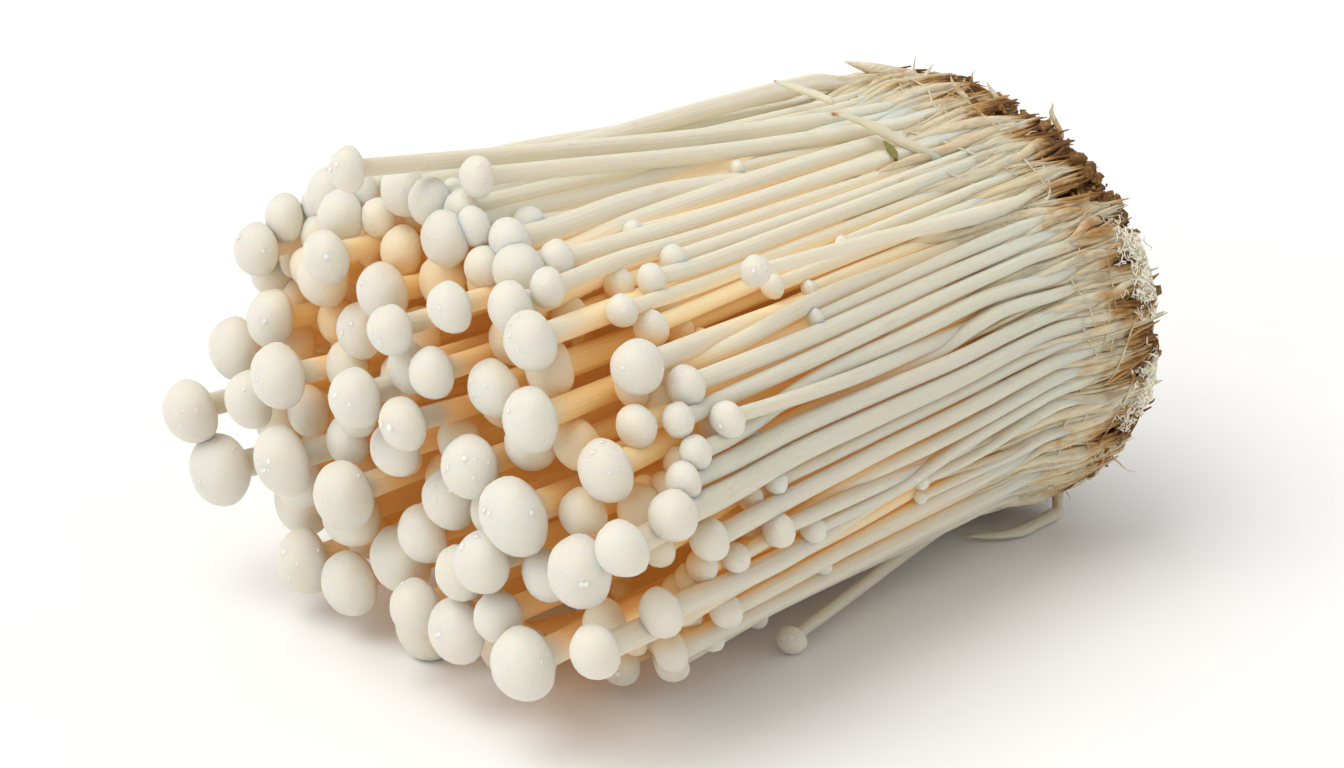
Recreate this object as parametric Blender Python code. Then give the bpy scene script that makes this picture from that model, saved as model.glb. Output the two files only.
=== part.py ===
"""Enoki mushroom bunch, lying on its side as it comes out of its bag.

The stems run along X, with the caps towards -X and the grown-together root end
towards +X. Y goes across the bunch and Z is up, with the table at z = 0. Each
mushroom is one closed solid, stem and cap together, because it grew as one
piece. Its stem starts just in front of the root mass, into which all the stems
are fused, and the crust of growing medium sits on the end of that mass.
"""
import math

import bmesh
import bpy
import numpy as np
from mathutils import Matrix, Vector

# Driving dimensions, in metres.
FACE_X = -0.058            # where the caps of the middle of the bunch stand
FIELD_BACK = -0.037        # single caps further back than this leave the field full
FACE_WIDTH = 0.102         # spread of the cap centres across, along Y
FACE_HEIGHT = 0.071        # and upwards, along Z
FACE_TILT = math.radians(7)  # the far side of the face stands higher than the near side
NECK_X = 0.036             # where the stems join the root mass
NECK_WIDTH = 0.086
NECK_HEIGHT = 0.070
BASE_X = 0.0585            # end of the root mass
BASE_WIDTH = 0.089
BASE_HEIGHT = 0.0715
LOWER_FULLNESS = 2.3       # 2 is an oval: the root end sags to a squarer one below its axis
CRUST_THICKNESS = 0.0045
AXIS_HEIGHT = 0.0345       # height of the bunch's axis over the table

NEAR_SET_BACK = 0.011      # how far the outermost caps stand behind the middle ones
FAR_SET_BACK = 0.010
CAP_PITCH = 0.0116         # distance between neighbouring caps
FIELD_TURN = math.radians(17)
FIELD_SHAKE = 0.0018       # how far a cap may stand from its even place
FACE_SHAKE = 0.005         # how far it may stand before or behind its neighbours
SINGLE_ROOM = 0.72         # the field leaves out caps this near a single one, in pitches
CAP_WIDTH_LOW = 0.0094     # the fullest caps are at the bottom of the face
CAP_WIDTH_HIGH = 0.0076
CAP_VARIES = (0.88, 1.10)  # least and most of a cap's even width
STEM_TO_CAP = 0.42         # stem width just under the cap, as a part of cap width
STEM_WIDTH_NECK = 0.0027   # every stem thins towards the root mass
STEM_THINS = 0.7           # below 1 it keeps more of its width near the cap
STEM_BOW = 1.15            # above 1 the stems spread out later, nearer to the caps
STEM_WAVE = 0.0016         # how far a stem sways from its even course
NECK_GATHER = 0.93         # the stems join the neck this far out, where 1 is its outline
NECK_CROSSING = 0.0040     # how far a stem may join away from its even place
CLEARANCE = 0.0006         # kept between neighbouring mushrooms
JOINT_GAP = 0.0003         # kept between pieces that meet face to face

# Mushrooms that stand apart from the even field of caps, in metres:
# cap centre x, y, z, cap width, then the y and z where the stem joins the neck.
SINGLE_MUSHROOMS = (
    (-0.0605, 0.0035, 0.0765, 0.0060, -0.004, 0.067),   # pushed up above the rest
    (-0.0460, -0.0060, 0.0745, 0.0058, -0.008, 0.066),  # small, set back on top
    (-0.0600, 0.0470, 0.0285, 0.0088, 0.038, 0.030),    # far side, low
    (-0.0580, 0.0425, 0.0190, 0.0100, 0.034, 0.019),
    (-0.0600, -0.0310, 0.0145, 0.0098, -0.022, 0.014),  # near side, fullest caps
    (-0.0580, -0.0140, 0.0125, 0.0094, -0.010, 0.011),
    (-0.0590, -0.0280, 0.0350, 0.0104, -0.022, 0.032),
    (-0.0570, -0.0390, 0.0300, 0.0094, -0.034, 0.028),
    (-0.0500, -0.0360, 0.0190, 0.0068, -0.029, 0.018),
    (-0.0385, -0.0260, 0.0058, 0.0068, -0.019, 0.008),
    (-0.0360, -0.0345, 0.0078, 0.0052, -0.026, 0.010),
    (-0.0105, -0.0325, 0.0024, 0.0044, -0.024, 0.006),  # strayed out on the table
    (-0.0360, -0.0450, 0.0480, 0.0050, -0.038, 0.044),  # small, set back at the side
    (-0.0280, -0.0470, 0.0300, 0.0050, -0.040, 0.028),
    (-0.0220, -0.0360, 0.0630, 0.0044, -0.030, 0.058),
)

# Stems without caps: x, y over the top of the bunch, and x, y, z on the table.
TOP_STEM_LONG = ((0.0219, -0.0075), (0.0255, -0.0114), (0.0283, -0.0145), (0.0314, -0.0177),
                 (0.0352, -0.0185))
TOP_STEM_SHORT = ((0.0254, 0.0084), (0.0256, 0.0042), (0.0257, -0.0005), (0.0255, -0.0045))
TABLE_STEM = ((0.0565, -0.0276, 0.0016), (0.0540, -0.0278, 0.0013), (0.0500, -0.0280, 0.0012),
              (0.0460, -0.0284, 0.0012), (0.0415, -0.0268, 0.0012), (0.0382, -0.0232, 0.0012))
LOOSE_STEM_WIDTH = 0.0018
LOOSE_DROOP = 0.5          # steepest droop of a loose stem's free stretch

SIDES = 8                  # corners of a mushroom's rings
PLANE_STEP = 0.002         # spacing of the planes that the stems are settled on
RING_STEP = 0.0155         # spacing of the rings of a stem
RELAX_ROUNDS = 420
FREE_ROUNDS = 30           # the last rounds, in which no stem is drawn back to its course
PUSH, DRAW_BACK, EVEN_OUT = 0.42, 0.012, 0.45  # share of each movement made in a round
CAP_REACH = 0.7            # a mushroom ends this far past its cap's centre, in cap widths
RIM_BEHIND = 0.62          # rim plane behind the cap's centre, in cap radii
ROOT_CORNERS = 24
RANDOM = np.random.default_rng(20)

# Outline of a cap: distance from its rim plane and radius, both in cap radii.
CAP_PROFILE = ((0.00, 0.62), (0.22, 0.92), (0.60, 1.00), (1.06, 0.78), (1.36, 0.43))
CAP_HEIGHT = 1.50          # rim plane to the top, in cap radii
CAP_HOLLOW = 0.12          # the gills lie this far inside the rim plane


def clear_scene():
    """Remove every object of the scene that the script runs in."""
    for item in list(bpy.data.objects):
        bpy.data.objects.remove(item, do_unlink=True)


def make_material(name, colour, roughness):
    """A plain Principled material."""
    material = bpy.data.materials.new(name)
    material.use_nodes = True
    shader = material.node_tree.nodes["Principled BSDF"]
    shader.inputs["Base Color"].default_value = (*colour, 1.0)
    shader.inputs["Roughness"].default_value = roughness
    shader.inputs["Metallic"].default_value = 0.0
    return material


def inside_face(y, z):
    """How far out a point is in the tilted oval of the face: 1 on its edge."""
    rise = z - AXIS_HEIGHT
    across = y * math.cos(FACE_TILT) + rise * math.sin(FACE_TILT)
    upward = rise * math.cos(FACE_TILT) - y * math.sin(FACE_TILT)
    return np.hypot(across / (FACE_WIDTH / 2), upward / (FACE_HEIGHT / 2))


# Layout: where each cap stands, and where its stem joins the neck.

def cap_field():
    """Cap centres in the face: a hexagonal field, turned, shaken and cut to an ellipse."""
    field = []
    for row in range(-7, 8):
        for column in range(-7, 8):
            along = (column + 0.5 * (row % 2)) * CAP_PITCH
            across = row * CAP_PITCH * math.sqrt(3) / 2
            y = along * math.cos(FIELD_TURN) - across * math.sin(FIELD_TURN)
            z = along * math.sin(FIELD_TURN) + across * math.cos(FIELD_TURN) + AXIS_HEIGHT
            shake = RANDOM.uniform(-FIELD_SHAKE, FIELD_SHAKE, 2)
            field.append((y + shake[0], z + shake[1]))
    field = np.array(field)
    kept = inside_face(field[:, 0], field[:, 1]) < 1.0
    singles = np.array([single[:3] for single in SINGLE_MUSHROOMS])
    in_face = singles[singles[:, 0] < FIELD_BACK, 1:]
    distance = np.linalg.norm(field[:, None] - in_face[None], axis=2).min(axis=1)
    return field[kept & (distance > SINGLE_ROOM * CAP_PITCH)]


def plan_mushrooms():
    """Cap centre, cap width and neck point of every mushroom."""
    plan = []
    for y, z in cap_field():
        out = float(inside_face(y, z))
        low = 1.0 - min(max(z / (2 * AXIS_HEIGHT), 0.0), 1.0)
        width = CAP_WIDTH_HIGH + low * (CAP_WIDTH_LOW - CAP_WIDTH_HIGH)
        width *= RANDOM.uniform(*CAP_VARIES)
        set_back = NEAR_SET_BACK if y < 0 else FAR_SET_BACK
        x = FACE_X + set_back * out**3 + RANDOM.uniform(-FACE_SHAKE, FACE_SHAKE)
        cross = RANDOM.uniform(-NECK_CROSSING, NECK_CROSSING, 2)
        neck_y = y * NECK_WIDTH / FACE_WIDTH * NECK_GATHER + cross[0]
        neck_z = AXIS_HEIGHT + (z - AXIS_HEIGHT) * NECK_HEIGHT / FACE_HEIGHT * NECK_GATHER + cross[1]
        plan.append((x, y, z, width, neck_y, neck_z))
    return np.array(list(SINGLE_MUSHROOMS) + plan)


def stem_width_at(plan, planes):
    """Stem width: full just under the cap, thinning evenly towards the neck."""
    under_cap = plan[:, 3:4] * STEM_TO_CAP
    along = (NECK_X - planes[None]) / (NECK_X - plan[:, 0:1])
    return STEM_WIDTH_NECK + (under_cap - STEM_WIDTH_NECK) * np.clip(along, 0, 1)**STEM_THINS


def body_radius(plan, planes):
    """Radius that a mushroom needs on each plane: its stem, or its cap near the end."""
    cap_radius = plan[:, 3:4] / 2
    stem = stem_width_at(plan, planes) / 2
    from_centre = np.abs(planes[None] - plan[:, 0:1])
    reach = cap_radius + PLANE_STEP
    return np.where(from_centre < reach, cap_radius, stem)


def settle(plan):
    """Push the mushrooms apart until none touch, keeping their stems smooth.

    The bunch is cut by planes across X. On each plane a mushroom is a circle,
    and each round moves overlapping circles apart, evens out every stem, draws
    it back a little to its planned course and lifts it off the table.
    """
    planes = np.arange(NECK_X, plan[:, 0].min() - 0.006, -PLANE_STEP)
    along = (NECK_X - planes[None]) / (NECK_X - plan[:, 0:1])
    neck = plan[:, None, 4:6]
    head = plan[:, None, 1:3]
    course = neck + (head - neck) * (along**STEM_BOW)[..., None]
    count = len(plan)
    wave_size = RANDOM.uniform(-STEM_WAVE, STEM_WAVE, (count, 1, 2))
    wave_start = RANDOM.uniform(0.0, 1.0, (count, 1))
    wave = np.sin(2 * math.pi * (1.3 * along + wave_start)) * np.clip(along * (1 - along), 0, 1) * 4
    course = course + wave[..., None] * wave_size
    radius = body_radius(plan, planes)
    active = planes[None] > plan[:, 0:1] - CAP_REACH * plan[:, 3:4]
    place = course.copy()
    both = active[:, None] & active[None]
    both &= ~np.eye(count, dtype=bool)[..., None]
    need = radius[:, None] + radius[None] + CLEARANCE
    for turn in range(RELAX_ROUNDS):
        apart = place[:, None] - place[None]
        distance = np.sqrt((apart**2).sum(axis=3)) + 1e-9
        push = np.where(both, np.clip(need - distance, 0, None), 0)
        place = place + (apart / distance[..., None] * push[..., None] * PUSH).sum(axis=1)
        if turn < RELAX_ROUNDS - FREE_ROUNDS:
            place += DRAW_BACK * (course - place)
        middle = (place[:, :-2] + place[:, 2:]) / 2 - place[:, 1:-1]
        place[:, 1:-1] += EVEN_OUT * middle
        place[..., 1] = np.maximum(place[..., 1], radius)
    return planes, place


# Solids.

def add_ring(mesh, centre, axis, radius, sides):
    """A ring of points about an axis, its first point as high as it can be."""
    axis = axis.normalized()
    side = axis.cross(Vector((0, 0, 1))).normalized()
    up = side.cross(axis)
    ring = []
    for corner in range(sides):
        angle = 2 * math.pi * corner / sides
        ring.append(mesh.verts.new(centre + radius * (math.cos(angle) * up + math.sin(angle) * side)))
    return ring


def close_body(name, mesh, rings, tip, material):
    """Bridge the rings in order, close both ends and make the object."""
    sides = len(rings[0])
    for first, second in zip(rings, rings[1:]):
        for corner in range(sides):
            after = (corner + 1) % sides
            mesh.faces.new((first[corner], first[after], second[after], second[corner]))
    mesh.faces.new(rings[0])
    if tip is None:
        mesh.faces.new(rings[-1])
    else:
        point = mesh.verts.new(tip)
        for corner in range(sides):
            mesh.faces.new((rings[-1][corner], rings[-1][(corner + 1) % sides], point))
    bmesh.ops.recalc_face_normals(mesh, faces=mesh.faces)
    bmesh.ops.triangulate(mesh, faces=mesh.faces)
    data = bpy.data.meshes.new(name)
    mesh.to_mesh(data)
    mesh.free()
    data.shade_smooth()
    data.materials.append(material)
    body = bpy.data.objects.new(name, data)
    bpy.context.scene.collection.objects.link(body)
    return body


def read_course(planes, place, index, x):
    """Centre of a stem on the plane at x, between the settled planes."""
    y = np.interp(-x, -planes, place[index, :, 0])
    z = np.interp(-x, -planes, place[index, :, 1])
    return Vector((x, float(y), float(z)))


def make_mushroom(name, plan_row, planes, place, index, material):
    """One mushroom: rings across X up the stem, then the cap about the stem's end."""
    cap_radius = float(plan_row[3]) / 2
    rim_x = float(plan_row[0]) + RIM_BEHIND * cap_radius
    start_x = NECK_X - JOINT_GAP
    steps = max(3, round((start_x - rim_x) / RING_STEP))
    mesh = bmesh.new()
    rings = []
    lengthwise = Vector((-1, 0, 0))
    for x in np.linspace(start_x, rim_x, steps + 1):
        centre = read_course(planes, place, index, float(x))
        radius = float(stem_width_at(plan_row[None], np.array([x]))[0, 0]) / 2
        rings.append(add_ring(mesh, centre, lengthwise, radius, SIDES))
    neck = read_course(planes, place, index, rim_x)
    ahead = read_course(planes, place, index, rim_x - 2 * PLANE_STEP)
    axis = (ahead - neck).normalized()
    rim = neck - axis * (CAP_HOLLOW * cap_radius)
    for distance, radius in CAP_PROFILE:
        rings.append(add_ring(mesh, rim + axis * (distance * cap_radius), axis,
                              radius * cap_radius, SIDES))
    return close_body(name, mesh, rings, rim + axis * (CAP_HEIGHT * cap_radius), material)


def base_outline(x, angle, width, height):
    """Point of the lumpy outline of the root end, flat where it lies on the table."""
    reach = 1 + 0.018 * math.sin(5 * angle + 90 * x) + 0.014 * math.sin(9 * angle + 1.3)
    if angle > math.pi:
        reach *= (abs(math.cos(angle))**LOWER_FULLNESS
                  + abs(math.sin(angle))**LOWER_FULLNESS)**(-1 / LOWER_FULLNESS)
    y = width / 2 * reach * math.cos(angle)
    z = AXIS_HEIGHT + height / 2 * reach * math.sin(angle)
    return Vector((x, y, max(z, 0.0)))


def make_root_part(name, sections, material):
    """A closed solid lofted through outlines of the root end: x, width, height."""
    mesh = bmesh.new()
    rings = []
    for x, width, height in sections:
        ring = []
        for corner in range(ROOT_CORNERS):
            angle = 2 * math.pi * corner / ROOT_CORNERS
            ring.append(mesh.verts.new(base_outline(x, angle, width, height)))
        rings.append(ring)
    return close_body(name, mesh, rings, None, material)


def smooth_route(route):
    """Points on a Catmull-Rom curve through the route, four to each stretch."""
    ends = [route[0] * 2 - route[1], *route, route[-1] * 2 - route[-2]]
    points = []
    for first, start, end, last in zip(ends, ends[1:], ends[2:], ends[3:]):
        for step in range(4):
            t = step / 4
            points.append(0.5 * (2 * start + (end - first) * t
                                 + (2 * first - 5 * start + 4 * end - last) * t**2
                                 + (3 * start - first - 3 * end + last) * t**3))
    return points + [route[-1]]


def resting_height(point, planes, place, plan):
    """Height at which a loose stem over this point just clears the stems under it."""
    level = 0.0
    for index in range(len(plan)):
        under = read_course(planes, place, index, point.x)
        radius = float(stem_width_at(plan[index:index + 1], np.array([point.x]))[0, 0]) / 2
        reach = radius + LOOSE_STEM_WIDTH / 2 + 2 * CLEARANCE
        if abs(point.y - under.y) < reach:
            level = max(level, under.z + math.sqrt(reach**2 - (point.y - under.y)**2))
    return level


def lay_on_top(points, planes, place, plan):
    """Lay a stiff stem over the bunch: it rests on the crests and bridges the dips.

    Where nothing is under a point, the stem droops from its other points by LOOSE_DROOP.
    """
    rests = [resting_height(point, planes, place, plan) for point in points]
    levels = [max(rest - LOOSE_DROOP * math.hypot(point.x - other.x, point.y - other.y)
                  for rest, other in zip(rests, points)) for point in points]
    for point, level in zip(points, levels):
        point.z = level
    for middle in range(1, len(points) - 1):
        for start in range(middle):
            for end in range(middle + 1, len(points)):
                part = (middle - start) / (end - start)
                bridge = levels[start] + (levels[end] - levels[start]) * part
                points[middle].z = max(points[middle].z, bridge)
    return points


def make_loose_stem(name, points, material):
    """A stem without a cap: a round tube along its points."""
    curve = bpy.data.curves.new(name, "CURVE")
    curve.dimensions = "3D"
    curve.bevel_depth = LOOSE_STEM_WIDTH / 2
    curve.bevel_resolution = 1
    curve.use_fill_caps = True
    spline = curve.splines.new("POLY")
    spline.points.add(len(points) - 1)
    for point, position in zip(spline.points, points):
        point.co = (*position, 1.0)
    curve.materials.append(material)
    body = bpy.data.objects.new(name, curve)
    bpy.context.scene.collection.objects.link(body)
    return body


def stand_on_origin():
    """Hang every piece on one empty, which puts the table under the middle at the origin."""
    bpy.context.view_layer.update()
    pieces = list(bpy.context.scene.objects)
    corners = np.array([piece.matrix_world @ Vector(corner)
                        for piece in pieces for corner in piece.bound_box])
    low, high = corners.min(axis=0), corners.max(axis=0)
    frame = bpy.data.objects.new("bunch_frame", None)
    bpy.context.scene.collection.objects.link(frame)
    frame.location = (-(low[0] + high[0]) / 2, -(low[1] + high[1]) / 2, -low[2])
    for piece in pieces:
        piece.parent = frame


def main():
    clear_scene()
    ivory = make_material("mushroom_ivory", (0.80, 0.77, 0.66), 0.5)
    tan = make_material("root_tan", (0.56, 0.42, 0.25), 0.8)
    brown = make_material("substrate_brown", (0.21, 0.12, 0.06), 0.95)
    plan = plan_mushrooms()
    planes, place = settle(plan)
    for index, row in enumerate(plan):
        make_mushroom(f"mushroom_{index + 1:02d}", row, planes, place, index, ivory)
    make_root_part("root_mass", (
        (NECK_X, 0.99 * NECK_WIDTH, 1.01 * NECK_HEIGHT),
        (NECK_X + 0.010, 0.98 * BASE_WIDTH, 0.97 * BASE_HEIGHT),
        (BASE_X, BASE_WIDTH, BASE_HEIGHT)), tan)
    crust_x = BASE_X + JOINT_GAP
    make_root_part("substrate_crust", (
        (crust_x, 1.01 * BASE_WIDTH, 1.01 * BASE_HEIGHT),
        (crust_x + 0.6 * CRUST_THICKNESS, 0.99 * BASE_WIDTH, 0.99 * BASE_HEIGHT),
        (crust_x + CRUST_THICKNESS, 0.88 * BASE_WIDTH, 0.88 * BASE_HEIGHT)), brown)
    for name, across in (("top_loose_stem_1", TOP_STEM_LONG), ("top_loose_stem_2", TOP_STEM_SHORT)):
        points = smooth_route([Vector((x, y, 0.0)) for x, y in across])
        make_loose_stem(name, lay_on_top(points, planes, place, plan), ivory)
    table_points = smooth_route([Vector(point) for point in TABLE_STEM])
    make_loose_stem("table_loose_stem", table_points, ivory)
    stand_on_origin()
    print(len(plan), "mushrooms")


main()
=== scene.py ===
"""Enoki mushroom bunch, lying on its side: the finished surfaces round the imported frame.

The stems run along X with the caps towards -X and the root end towards +X, and the
table is z = 0. Lengths are in metres.
"""
import math

import bpy
import numpy as np
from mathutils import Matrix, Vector


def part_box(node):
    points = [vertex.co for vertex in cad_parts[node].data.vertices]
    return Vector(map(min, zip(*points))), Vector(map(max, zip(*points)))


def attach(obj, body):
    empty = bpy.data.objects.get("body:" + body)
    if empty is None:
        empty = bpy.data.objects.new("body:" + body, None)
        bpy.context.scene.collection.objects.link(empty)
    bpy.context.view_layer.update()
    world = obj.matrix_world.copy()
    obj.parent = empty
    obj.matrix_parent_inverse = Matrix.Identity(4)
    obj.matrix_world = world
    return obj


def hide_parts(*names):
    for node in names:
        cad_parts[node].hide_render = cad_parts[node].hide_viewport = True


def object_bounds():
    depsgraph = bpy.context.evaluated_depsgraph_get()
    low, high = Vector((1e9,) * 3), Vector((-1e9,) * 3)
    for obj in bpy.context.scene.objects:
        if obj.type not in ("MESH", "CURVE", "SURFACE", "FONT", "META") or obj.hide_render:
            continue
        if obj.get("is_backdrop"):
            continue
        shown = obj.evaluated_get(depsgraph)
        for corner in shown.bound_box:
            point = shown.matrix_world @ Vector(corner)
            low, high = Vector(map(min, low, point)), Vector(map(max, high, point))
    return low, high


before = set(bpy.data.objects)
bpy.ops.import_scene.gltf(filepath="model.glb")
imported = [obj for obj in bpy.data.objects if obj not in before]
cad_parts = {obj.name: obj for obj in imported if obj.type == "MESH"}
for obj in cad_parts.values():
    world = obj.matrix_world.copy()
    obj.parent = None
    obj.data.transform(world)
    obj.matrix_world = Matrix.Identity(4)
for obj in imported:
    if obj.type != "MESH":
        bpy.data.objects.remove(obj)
cad_low, cad_high = (np.array(corner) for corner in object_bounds())
draws = np.random.default_rng(11)

# Camera, table and light. The camera stands low beside the caps and looks along the
# bunch. A wide soft sun shines down over its far shoulder, and a pale room fills in.
VIEW_TURN, VIEW_TILT = math.radians(-42.7), math.radians(21.2)
VIEW_DISTANCE, VIEW_ANGLE = 0.435, math.radians(26.5)
look_at = Vector((-0.0025, -0.0005, 0.0314))
back = Vector((math.sin(VIEW_TURN) * math.cos(VIEW_TILT),
               -math.cos(VIEW_TURN) * math.cos(VIEW_TILT), math.sin(VIEW_TILT)))
camera = bpy.data.objects.new("camera", bpy.data.cameras.new("camera"))
bpy.context.scene.collection.objects.link(camera)
camera.location = look_at + back * VIEW_DISTANCE
camera.rotation_euler = back.to_track_quat("Z", "Y").to_euler()
camera.data.angle = VIEW_ANGLE
camera.data.clip_start = 0.01
bpy.context.scene.camera = camera
bpy.context.scene.view_settings.view_transform = "Standard"


def add_sun(name, towards, width, power, colour):
    """A soft sun that shines from the given side and spreads over an angle in degrees."""
    sun = bpy.data.objects.new(name, bpy.data.lights.new(name, "SUN"))
    bpy.context.scene.collection.objects.link(sun)
    sun.data.angle = math.radians(width)
    sun.data.energy = power
    sun.data.color = colour
    sun.rotation_euler = Vector(towards).to_track_quat("Z", "Y").to_euler()


add_sun("key_sun", (-0.36, 0.22, 0.85), 50, 1.48, (1.0, 0.985, 0.95))
add_sun("side_sun", (-0.85, -0.05, 0.45), 50, 0.48, (1.0, 0.99, 0.97))
room = bpy.data.worlds.new("pale_room")
room.use_nodes = True
room.node_tree.nodes["Background"].inputs["Color"].default_value = (1.0, 0.995, 0.98, 1.0)
room.node_tree.nodes["Background"].inputs["Strength"].default_value = 0.62
bpy.context.scene.world = room


class Shade:
    """A socket of a material's nodes. Sums of shades and numbers add Math nodes."""

    def __init__(self, tree, socket):
        self.tree, self.socket = tree, socket

    def node(self, kind, settings=None, sockets=None, output=0):
        """Add a node: its settings first, then the values or links of its sockets."""
        made = self.tree.nodes.new(kind)
        for name, value in (settings or {}).items():
            if name == "stops":
                ramp = made.color_ramp
                while len(ramp.elements) < len(value):
                    ramp.elements.new(1.0)
                for stop, (place, colour) in zip(ramp.elements, value):
                    stop.position, stop.color = place, (*colour, 1.0)
            else:
                setattr(made, name, value)
        for name, value in (sockets or {}).items():
            if isinstance(value, Shade):
                self.tree.links.new(value.socket, made.inputs[name])
            else:
                made.inputs[name].default_value = value
        return Shade(self.tree, made.outputs[output])

    def maths(self, operation, first, second=0.0, clamp=False):
        return self.node("ShaderNodeMath", {"operation": operation, "use_clamp": clamp},
                         {0: first, 1: second})

    def __add__(self, other):
        return self.maths("ADD", self, other)

    def __sub__(self, other):
        return self.maths("SUBTRACT", self, other)

    def __rsub__(self, other):
        return self.maths("SUBTRACT", other, self)

    def __mul__(self, other):
        return self.maths("MULTIPLY", self, other)

    __radd__, __rmul__ = __add__, __mul__

    def clamped(self):
        return self.maths("ADD", self, 0.0, clamp=True)

    def between(self, low, high):
        """0 below low, 1 above high, and smooth from one to the other."""
        return self.node("ShaderNodeMapRange", {"interpolation_type": "SMOOTHSTEP"},
                         {"Value": self, "From Min": low, "From Max": high})

    def mix(self, first, second, amount):
        """The first colour, with the second laid over it by the amount."""
        return self.node("ShaderNodeMix", {"data_type": "RGBA"},
                         {0: amount, 6: first, 7: second}, output=2)

    def attribute(self, name, output=2):
        """A surface attribute of the piece: its number, or its vector as output 1."""
        return self.node("ShaderNodeAttribute", {"attribute_name": name}, output=output)

    def bump(self, height, strength, distance, normal=None):
        """A normal tipped by a height, where distance is the height of 1 in metres."""
        sockets = {"Height": height, "Strength": strength, "Distance": distance}
        if normal is not None:
            sockets["Normal"] = normal
        return self.node("ShaderNodeBump", {}, sockets)

    def noise(self, scale, detail=3.0, roughness=0.5):
        """Cloudy noise over this vector, about 0.5, in spots of 1 / scale."""
        return self.node("ShaderNodeTexNoise", {},
                         {"Vector": self, "Scale": scale, "Detail": detail, "Roughness": roughness})


def start_material(name, roughness, **constants):
    """A Principled material: returns it, a shade to build on and a way to set its inputs."""
    material = bpy.data.materials.new(name)
    material.use_nodes = True
    shader = material.node_tree.nodes["Principled BSDF"]
    shader.inputs["Roughness"].default_value = roughness
    for key, value in constants.items():
        shader.inputs[key.replace("_", " ")].default_value = value

    def feed(socket, shade):
        material.node_tree.links.new(shade.socket, shader.inputs[socket])

    return material, Shade(material.node_tree, None), feed


def turn_ring(columns):
    """Angles at even steps round a full turn."""
    return np.linspace(0, 2 * math.pi, columns, endpoint=False)


table_material, shade, feed = start_material("table_paper", 0.9, Specular_IOR_Level=0.1)
place = shade.node("ShaderNodeTexCoord", output=3)
grain = place.noise(40.0, 4.0)
feed("Base Color", shade.node("ShaderNodeValToRGB", {"stops": (
    (0.3, (0.94, 0.94, 0.94)), (0.7, (0.96, 0.96, 0.955)))}, {"Fac": grain}))
TABLE_RADIUS, TABLE_CORNERS = 6.0, 64
around = turn_ring(TABLE_CORNERS)
table_points = TABLE_RADIUS * np.column_stack([np.cos(around), np.sin(around), 0 * around])
table_mesh = bpy.data.meshes.new("table")
table_mesh.from_pydata(table_points.tolist(), [], [list(range(TABLE_CORNERS))])
table_mesh.materials.append(table_material)
table = bpy.data.objects.new("table", table_mesh)
bpy.context.scene.collection.objects.link(table)
table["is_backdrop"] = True

# Outline of the bunch: an oval across X, which leans over at the face of caps, narrows to the
# neck and widens again to the root end. The feet of the stems are gathered into tufts.
FACE_LEAN = math.radians(7)
FACE_HALF = (0.0495, 0.0350)
NECK_INSET, WAIST_INSET, BASE_INSET = 0.0026, 0.0010, 0.0010
LOWER_FULLNESS = 2.35
WAIST_RUN, MIDDLE_DROP = 0.010, 0.001
TABLE_GAP, TABLE_TOUCH = 0.0004, 0.0001
TUFTS, TUFT_STRAY = 38, 0.32
CLOUD_WAVES, CLOUD_SIZE, WAVE_GAIN = 14, 0.011, 2.2
root_low, root_high = (np.array(corner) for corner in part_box("root_mass"))
neck_x, base_x, end_x = root_low[0], root_high[0], cad_high[0]
face_x = cad_low[0]
middle = (root_low[1:] + root_high[1:]) / 2 - (0, MIDDLE_DROP)
root_half = (root_high[1:] - root_low[1:]) / 2
tuft_turns = (np.arange(TUFTS) + draws.uniform(-TUFT_STRAY, TUFT_STRAY, TUFTS)) / TUFTS * 2 * math.pi
cloud_waves = draws.normal(size=(CLOUD_WAVES, 3)) * 2 * math.pi / CLOUD_SIZE
cloud_starts = draws.uniform(0, 2 * math.pi, CLOUD_WAVES)


def ramp(value, start, end):
    """0 on the far side of start, 1 past end, and straight from one to the other."""
    return np.clip((value - start) / (end - start), 0, 1)


def unit(vectors):
    """The vectors with their length brought to 1."""
    return vectors / (np.linalg.norm(vectors, axis=-1, keepdims=True) + 1e-12)


def outline_half(x):
    """Half width and half height of the bunch's outline across X."""
    stations = (face_x, neck_x, neck_x + WAIST_RUN, base_x)
    return [np.interp(x, stations, (FACE_HALF[axis], root_half[axis] - NECK_INSET,
                                    root_half[axis] - WAIST_INSET, root_half[axis] - BASE_INSET))
            for axis in (0, 1)]


def sag(x, turn):
    """Reach of the outline's lower half, which sags to a squarer oval towards the root."""
    power = 2 + (LOWER_FULLNESS - 2) * ramp(x, face_x, base_x)
    square = (np.abs(np.cos(turn))**power + np.abs(np.sin(turn))**power)**(-1 / power)
    return np.where(np.sin(turn) < 0, square, 1.0)


def lean_at(x):
    """How far the outline is turned about X: not at the neck, and fully at the face."""
    return FACE_LEAN * ramp(x, neck_x, face_x)


def on_outline(x, turn, lift=0.0, out=1.0):
    """Point at an angle round the axis: out times the outline plus lift, over the table."""
    across, upward = outline_half(x)
    y = (across * out + lift) * np.cos(turn) * sag(x, turn)
    z = (upward * out + lift) * np.sin(turn) * sag(x, turn)
    lean = lean_at(x)
    z, y = z * np.cos(lean) + y * np.sin(lean), y * np.cos(lean) - z * np.sin(lean)
    return np.stack([x + 0 * y, middle[0] + y, np.maximum(middle[1] + z, TABLE_GAP)], axis=-1)


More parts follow.
